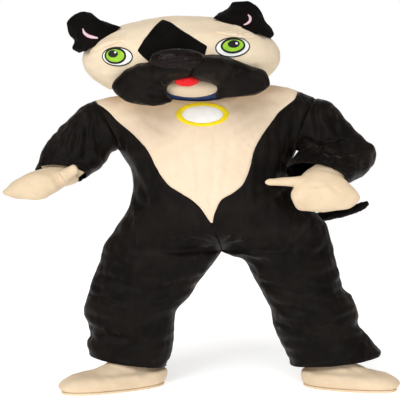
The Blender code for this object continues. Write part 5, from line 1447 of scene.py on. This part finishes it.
earCut = {
    rightSide: table(
        "number root_x root_z out_x out_z",
        (0, -0.368, 1.640, -0.440, 1.668),
        (1, -0.385, 1.634, -0.477, 1.678),
        (2, -0.400, 1.627, -0.490, 1.704),
        (3, -0.427, 1.613, -0.522, 1.709),
        (4, -0.454, 1.595, -0.572, 1.690),
        (5, -0.472, 1.581, -0.599, 1.654),
        (6, -0.486, 1.563, -0.586, 1.604),
        (7, -0.499, 1.550, -0.566, 1.577),
        (8, -0.507, 1.541, -0.575, 1.546),
        (9, -0.513, 1.527, -0.545, 1.524),
    ),
    leftSide: table(
        "number root_x root_z out_x out_z",
        (0, 0.066, 1.680, 0.085, 1.702),
        (1, 0.105, 1.670, 0.125, 1.722),
        (2, 0.140, 1.659, 0.148, 1.750),
        (3, 0.172, 1.649, 0.204, 1.7560),
        (4, 0.205, 1.637, 0.245, 1.740),
        (5, 0.232, 1.627, 0.272, 1.713),
        (6, 0.252, 1.616, 0.294, 1.668),
        (7, 0.268, 1.608, 0.325, 1.628),
        (8, 0.280, 1.601, 0.333, 1.608),
        (9, 0.288, 1.594, 0.312, 1.584),
    ),
    "y": -0.090, "rootInside": 0.035, "rootDepth": 0.012, "padding": 0.026, "fill": 0.6,
    "lining": {
        rightSide: ((-0.5195, 1.628, 0.002), (-0.512, 1.609, 0.0055), (-0.495, 1.595, 0.007), (-0.470, 1.587, 0.006),
                    (-0.450, 1.584, 0.003)),
        leftSide: ((0.212, 1.689, 0.002), (0.221, 1.678, 0.005), (0.222, 1.664, 0.0055), (0.211, 1.650, 0.005),
                   (0.192, 1.641, 0.002)),
    },
}


def earPiece(side):
    row = read(earCut[side], np.linspace(0, 9, 84))
    rootY = np.minimum(earCut["y"], headFront(row["root_x"], row["root_z"]) + earCut["rootDepth"])
    root = point(row["root_x"], rootY, row["root_z"])
    outer = point(row["out_x"], earCut["y"], row["out_z"])
    spoke = unit(outer - root)
    root = root - spoke * earCut["rootInside"]
    middle, half = (root + outer) / 2, np.linalg.norm(outer - root, axis=-1) / 2
    pad = earCut["padding"] * (0.35 + 0.65 * np.sin(math.pi * np.linspace(0, 1, len(half))) ** 0.6)
    a = turnsRound(48)
    # The rim is thinner than the middle, where two layers are sewn together.
    flatRim = 1 - 0.45 * smooth((np.cos(a) - 0.45) / 0.5)
    rings = (middle[:, None] + spoke[:, None] * (half[:, None] * np.cos(a)[None, :])[..., None]
             - np.array([0, 1, 0]) * (pad[:, None] * (np.sin(a) * flatRim)[None, :])[..., None])
    normals = outwardFrom(rings, normalsOf(rings, wrap=True), middle[:, None])
    out = 0.0018 * ripple(rings, 0.06, 850 + side) + 0.0009 * ripple(rings, 0.025, 852 + side)
    rings = clearHead(rings + normals * out[..., None], skinRoom)
    ear = stuffedPiece("ear_" + sideWord[side], rings, "black_smooth")
    grid, v, u = stripGrid(earCut["lining"][side], 12, 44)
    spots, ways = surfaceUnder(treeOf(ear), grid[..., 0], grid[..., 1])
    rise = np.sqrt(np.clip(1 - v**2, 0, 1))[None, :] * np.sin(math.pi * np.clip(u, 0.03, 0.97))[:, None] ** 0.5
    top = spots + ways * (0.0008 + 0.0022 * rise)[..., None]
    wallPiece("ear_lining_" + sideWord[side], top, spots + ways * seam, "pink_satin")


for side in sides:
    earPiece(side)
print("muzzle, nose, chin, tongue and ears made")


# Collar, tag and tail.

collarCut = {"columns": 160, "rows": 14, "thick": 0.003, "bulge": 0.0045, "gather": 0.0010, "rolledEdge": 1.3}


def collarPiece():
    turn = turnsRound(collarCut["columns"])
    share = np.arcsin(np.clip(np.abs(np.sin(turn)), 0, 1)) / (math.pi / 2) * suit["necklineShare"]
    low = np.zeros((len(turn), 3))
    for side in sides:
        for face in (frontFace, backFace):
            mine = ((np.sin(turn) >= 0) == (side == leftSide)) & ((np.cos(turn) > 0) == (face == frontFace))
            low[mine] = topEdge(side, face, share[mine])
    low = low + up * (seam + 0.0005)
    high = neckPoint(turn) - up * seam
    away = low - np.array([0, suit["neckSide"][leftSide][1], 0])
    away[:, 2] = 0
    away = unit(away)
    s = np.linspace(0, 1, collarCut["rows"])[:, None, None]
    body = mix(low[None], high[None], s) + away[None] * (4 * s * (1 - s) * collarCut["bulge"])
    gathers = collarCut["gather"] * np.sin(turn * 46 + 2 * np.sin(turn * 7))
    body = body + away[None] * gathers[None, :, None] * np.sin(math.pi * s)
    edge = bump(s * 13, collarCut["rolledEdge"]) + bump((1 - s) * 13, collarCut["rolledEdge"])
    body = body - away[None] * 0.0010 * edge
    wallPiece("collar", body, body - away[None] * collarCut["thick"], "blue_satin", wrap=True)


collarPiece()

tagCut = {"at": (0.011, 1.248), "outer": (0.1180, 0.0530), "inner": (0.0915, 0.0385), "tab": 0.0022}
chestTree = treeOf(chest)


def tagPieces():
    x, z = tagCut["at"]
    (outX, outZ), (inX, inZ) = tagCut["outer"], tagCut["inner"]
    turns, share = turnsRound(120), steps(20, 0.6)
    flat = np.array([np.stack([x + mix(outX, inX, s) * np.cos(turns), z + mix(outZ, inZ, s) * np.sin(turns)], -1)
                     for s in share])
    # The small tab toward the collar is a low bump of the outer edge.
    near = bump(flat[..., 0] - x + 0.013, 0.012) * (flat[..., 1] > z)
    flat[..., 1] += tagCut["tab"] * near * (1 - share)[:, None]
    spots, ways = surfaceUnder(chestTree, flat[..., 0], flat[..., 1])
    rise = np.sin(math.pi * np.clip(share, 0.0, 1.0)) ** 0.5
    top = spots + ways * (0.0010 + 0.0030 * rise)[:, None, None]
    wallPiece("tag_ring", top, spots + ways * seam, "yellow_felt", wrap=True)
    disc = ovalLine(x, z, inX - seam, inZ - seam, 0, 110)
    laidPiece("tag_disc", chestTree, disc, seam, 0.0020, "white_felt", edge=0.04, rings=18)


tagPieces()

tailCut = {"rows": table(
    "number x y z radius",
    (0, 0.075, 0.175, 0.745, 0.030),
    (1, 0.085, 0.225, 0.742, 0.029),
    (2, 0.125, 0.268, 0.738, 0.027),
    (3, 0.210, 0.292, 0.735, 0.025),
    (4, 0.330, 0.288, 0.738, 0.0235),
    (5, 0.450, 0.268, 0.744, 0.0235),
    (6, 0.560, 0.232, 0.754, 0.0230),
    (7, 0.655, 0.190, 0.774, 0.0225),
    (8, 0.722, 0.155, 0.796, 0.0215),
    (9, 0.768, 0.130, 0.818, 0.0185),
    (10, 0.791, 0.117, 0.832, 0.0110),
), "rootShift": (0.004, 0.030, 0.0), "tip": (0.787, 0.1155, 0.8435), "seamTurn": 4.71, "fill": 0.8}


def tailPiece():
    rows = tailCut["rows"]
    places = np.stack([rows["x"], rows["y"], rows["z"]], -1)
    places[0] += np.array(tailCut["rootShift"])
    along = unit(np.gradient(places, axis=0))
    one = unit(np.cross(along, up))
    two = np.cross(along, one)
    a = turnsRound(48)
    ring = one[:, None] * np.cos(a)[None, :, None] + two[:, None] * np.sin(a)[None, :, None]
    rings = alongRings(places[:, None] + ring * rows["radius"][:, None, None], 150)
    normals = outwardFrom(rings, normalsOf(rings, wrap=True), rings.mean(1, keepdims=True))
    out = 0.0012 * ripple(rings, 0.05, 860) + 0.0006 * ripple(rings, 0.022, 861)
    # Soft wrinkles across the stuffing, closer on the inside of the bend, and a seam along it.
    where = np.linspace(0, 1, len(rings))[:, None]
    wrinkle = np.clip(np.sin(where * 140 + 3 * np.sin(where * 17) + 1.5 * np.sin(a[None, :])), 0.2, 1)
    out += -0.0016 * wrinkle * (0.6 - 0.4 * np.cos(a)[None, :])
    out -= 0.0015 * bump(a[None, :] - tailCut["seamTurn"], 0.09)
    rings = rings + normals * out[..., None]
    thing = tubePiece("tail", rings, "black_plush", (rings[0].mean(0), np.array(tailCut["tip"])))


tailPiece()
print("collar, tag and tail made")
# Floor, light and camera.

def addFloor():
    mesh = bpy.data.meshes.new("floor")
    n = 24
    line = np.linspace(-14, 14, n)
    verts = [(x, y, -floorDrop - 0.0005) for y in line for x in line]
    mesh.from_pydata(verts, [], wallFaces(n, n, solid=False))
    made, link, shader, add = nodesFor("floor_paper")
    noise = add("ShaderNodeTexNoise", Scale=3.0, Detail=2.0)
    tone = addTones(add, link, noise.outputs["Fac"], (0.95, 0.95, 0.95), (0.93, 0.93, 0.925))
    link(tone, shader.inputs["Base Color"])
    shader.inputs["Roughness"].default_value = 0.95
    shader.inputs["Specular IOR Level"].default_value = 0.1
    shader.inputs["Emission Color"].default_value = (1, 1, 1, 1)
    shader.inputs["Emission Strength"].default_value = 0.44    # keeps the paper white to the back
    mesh.materials.append(made)
    addToScene(bpy.data.objects.new("floor", mesh))


def addLight(name, place, target, size, power):
    light = bpy.data.lights.new(name, "AREA")
    light.shape = "RECTANGLE"
    light.size, light.size_y = size
    light.energy = power
    thing = addToScene(bpy.data.objects.new(name, light))
    thing.location = place
    thing.rotation_euler = (Vector(target) - Vector(place)).to_track_quat("-Z", "Y").to_euler()


addFloor()
addLight("key", (-1.9, -4.5, 1.6), (0, 0, -0.2), (1.0, 1.0), 34)
addLight("fill", (1.5, -5.0, -0.05), (0, 0, -0.2), (1.4, 1.4), 46)
addLight("behind", (0.5, 3.8, 2.4), (0, 0, -0.2), (3.0, 2.0), 40)
addLight("spark", (-0.115, -0.86, -0.50), (-0.10, -0.44, 0.135), (0.045, 0.020), 0.9)    # the small shine on the nose
sun = addToScene(bpy.data.objects.new("ceiling", bpy.data.lights.new("ceiling", "SUN")))
sun.data.energy = 1.35
sun.data.angle = math.radians(40)
sun.rotation_euler = Vector((0.30, 0.75, -0.85)).to_track_quat("-Z", "Y").to_euler()

world = bpy.data.worlds.new("studio")
world.use_nodes = True
bpy.context.scene.world = world
nodes, links = world.node_tree.nodes, world.node_tree.links
nodes.clear()
room, seen = nodes.new("ShaderNodeBackground"), nodes.new("ShaderNodeBackground")
room.inputs["Color"].default_value = (1.0, 0.985, 0.97, 1)
room.inputs["Strength"].default_value = 0.36
seen.inputs["Color"].default_value = (1, 1, 1, 1)
seen.inputs["Strength"].default_value = 1.0
path, either = nodes.new("ShaderNodeLightPath"), nodes.new("ShaderNodeMixShader")
output = nodes.new("ShaderNodeOutputWorld")
links.new(path.outputs["Is Camera Ray"], either.inputs["Fac"])
links.new(room.outputs["Background"], either.inputs[1])
links.new(seen.outputs["Background"], either.inputs[2])
links.new(either.outputs["Shader"], output.inputs["Surface"])
bpy.context.scene.view_settings.view_transform = "Standard"

cameraSet = {"height": 1.25, "away": 5.5, "sensor": 36.0, "pixels": 400, "metresPerPixel": 0.0046, "lookRow": 114}
camera = addToScene(bpy.data.objects.new("camera", bpy.data.cameras.new("camera")))
camera.data.sensor_width = cameraSet["sensor"]
camera.data.lens = cameraSet["sensor"] * cameraSet["away"] / (cameraSet["pixels"] * cameraSet["metresPerPixel"])
rowsDown = cameraSet["pixels"] / 2 - cameraSet["lookRow"]
pitch = math.atan(rowsDown / (cameraSet["away"] / cameraSet["metresPerPixel"]))
camera.location = (0.0, -cameraSet["away"], cameraSet["height"] - floorDrop)
camera.rotation_euler = (math.pi / 2 - pitch, 0.0, 0.0)
bpy.context.scene.camera = camera
print("camera set")
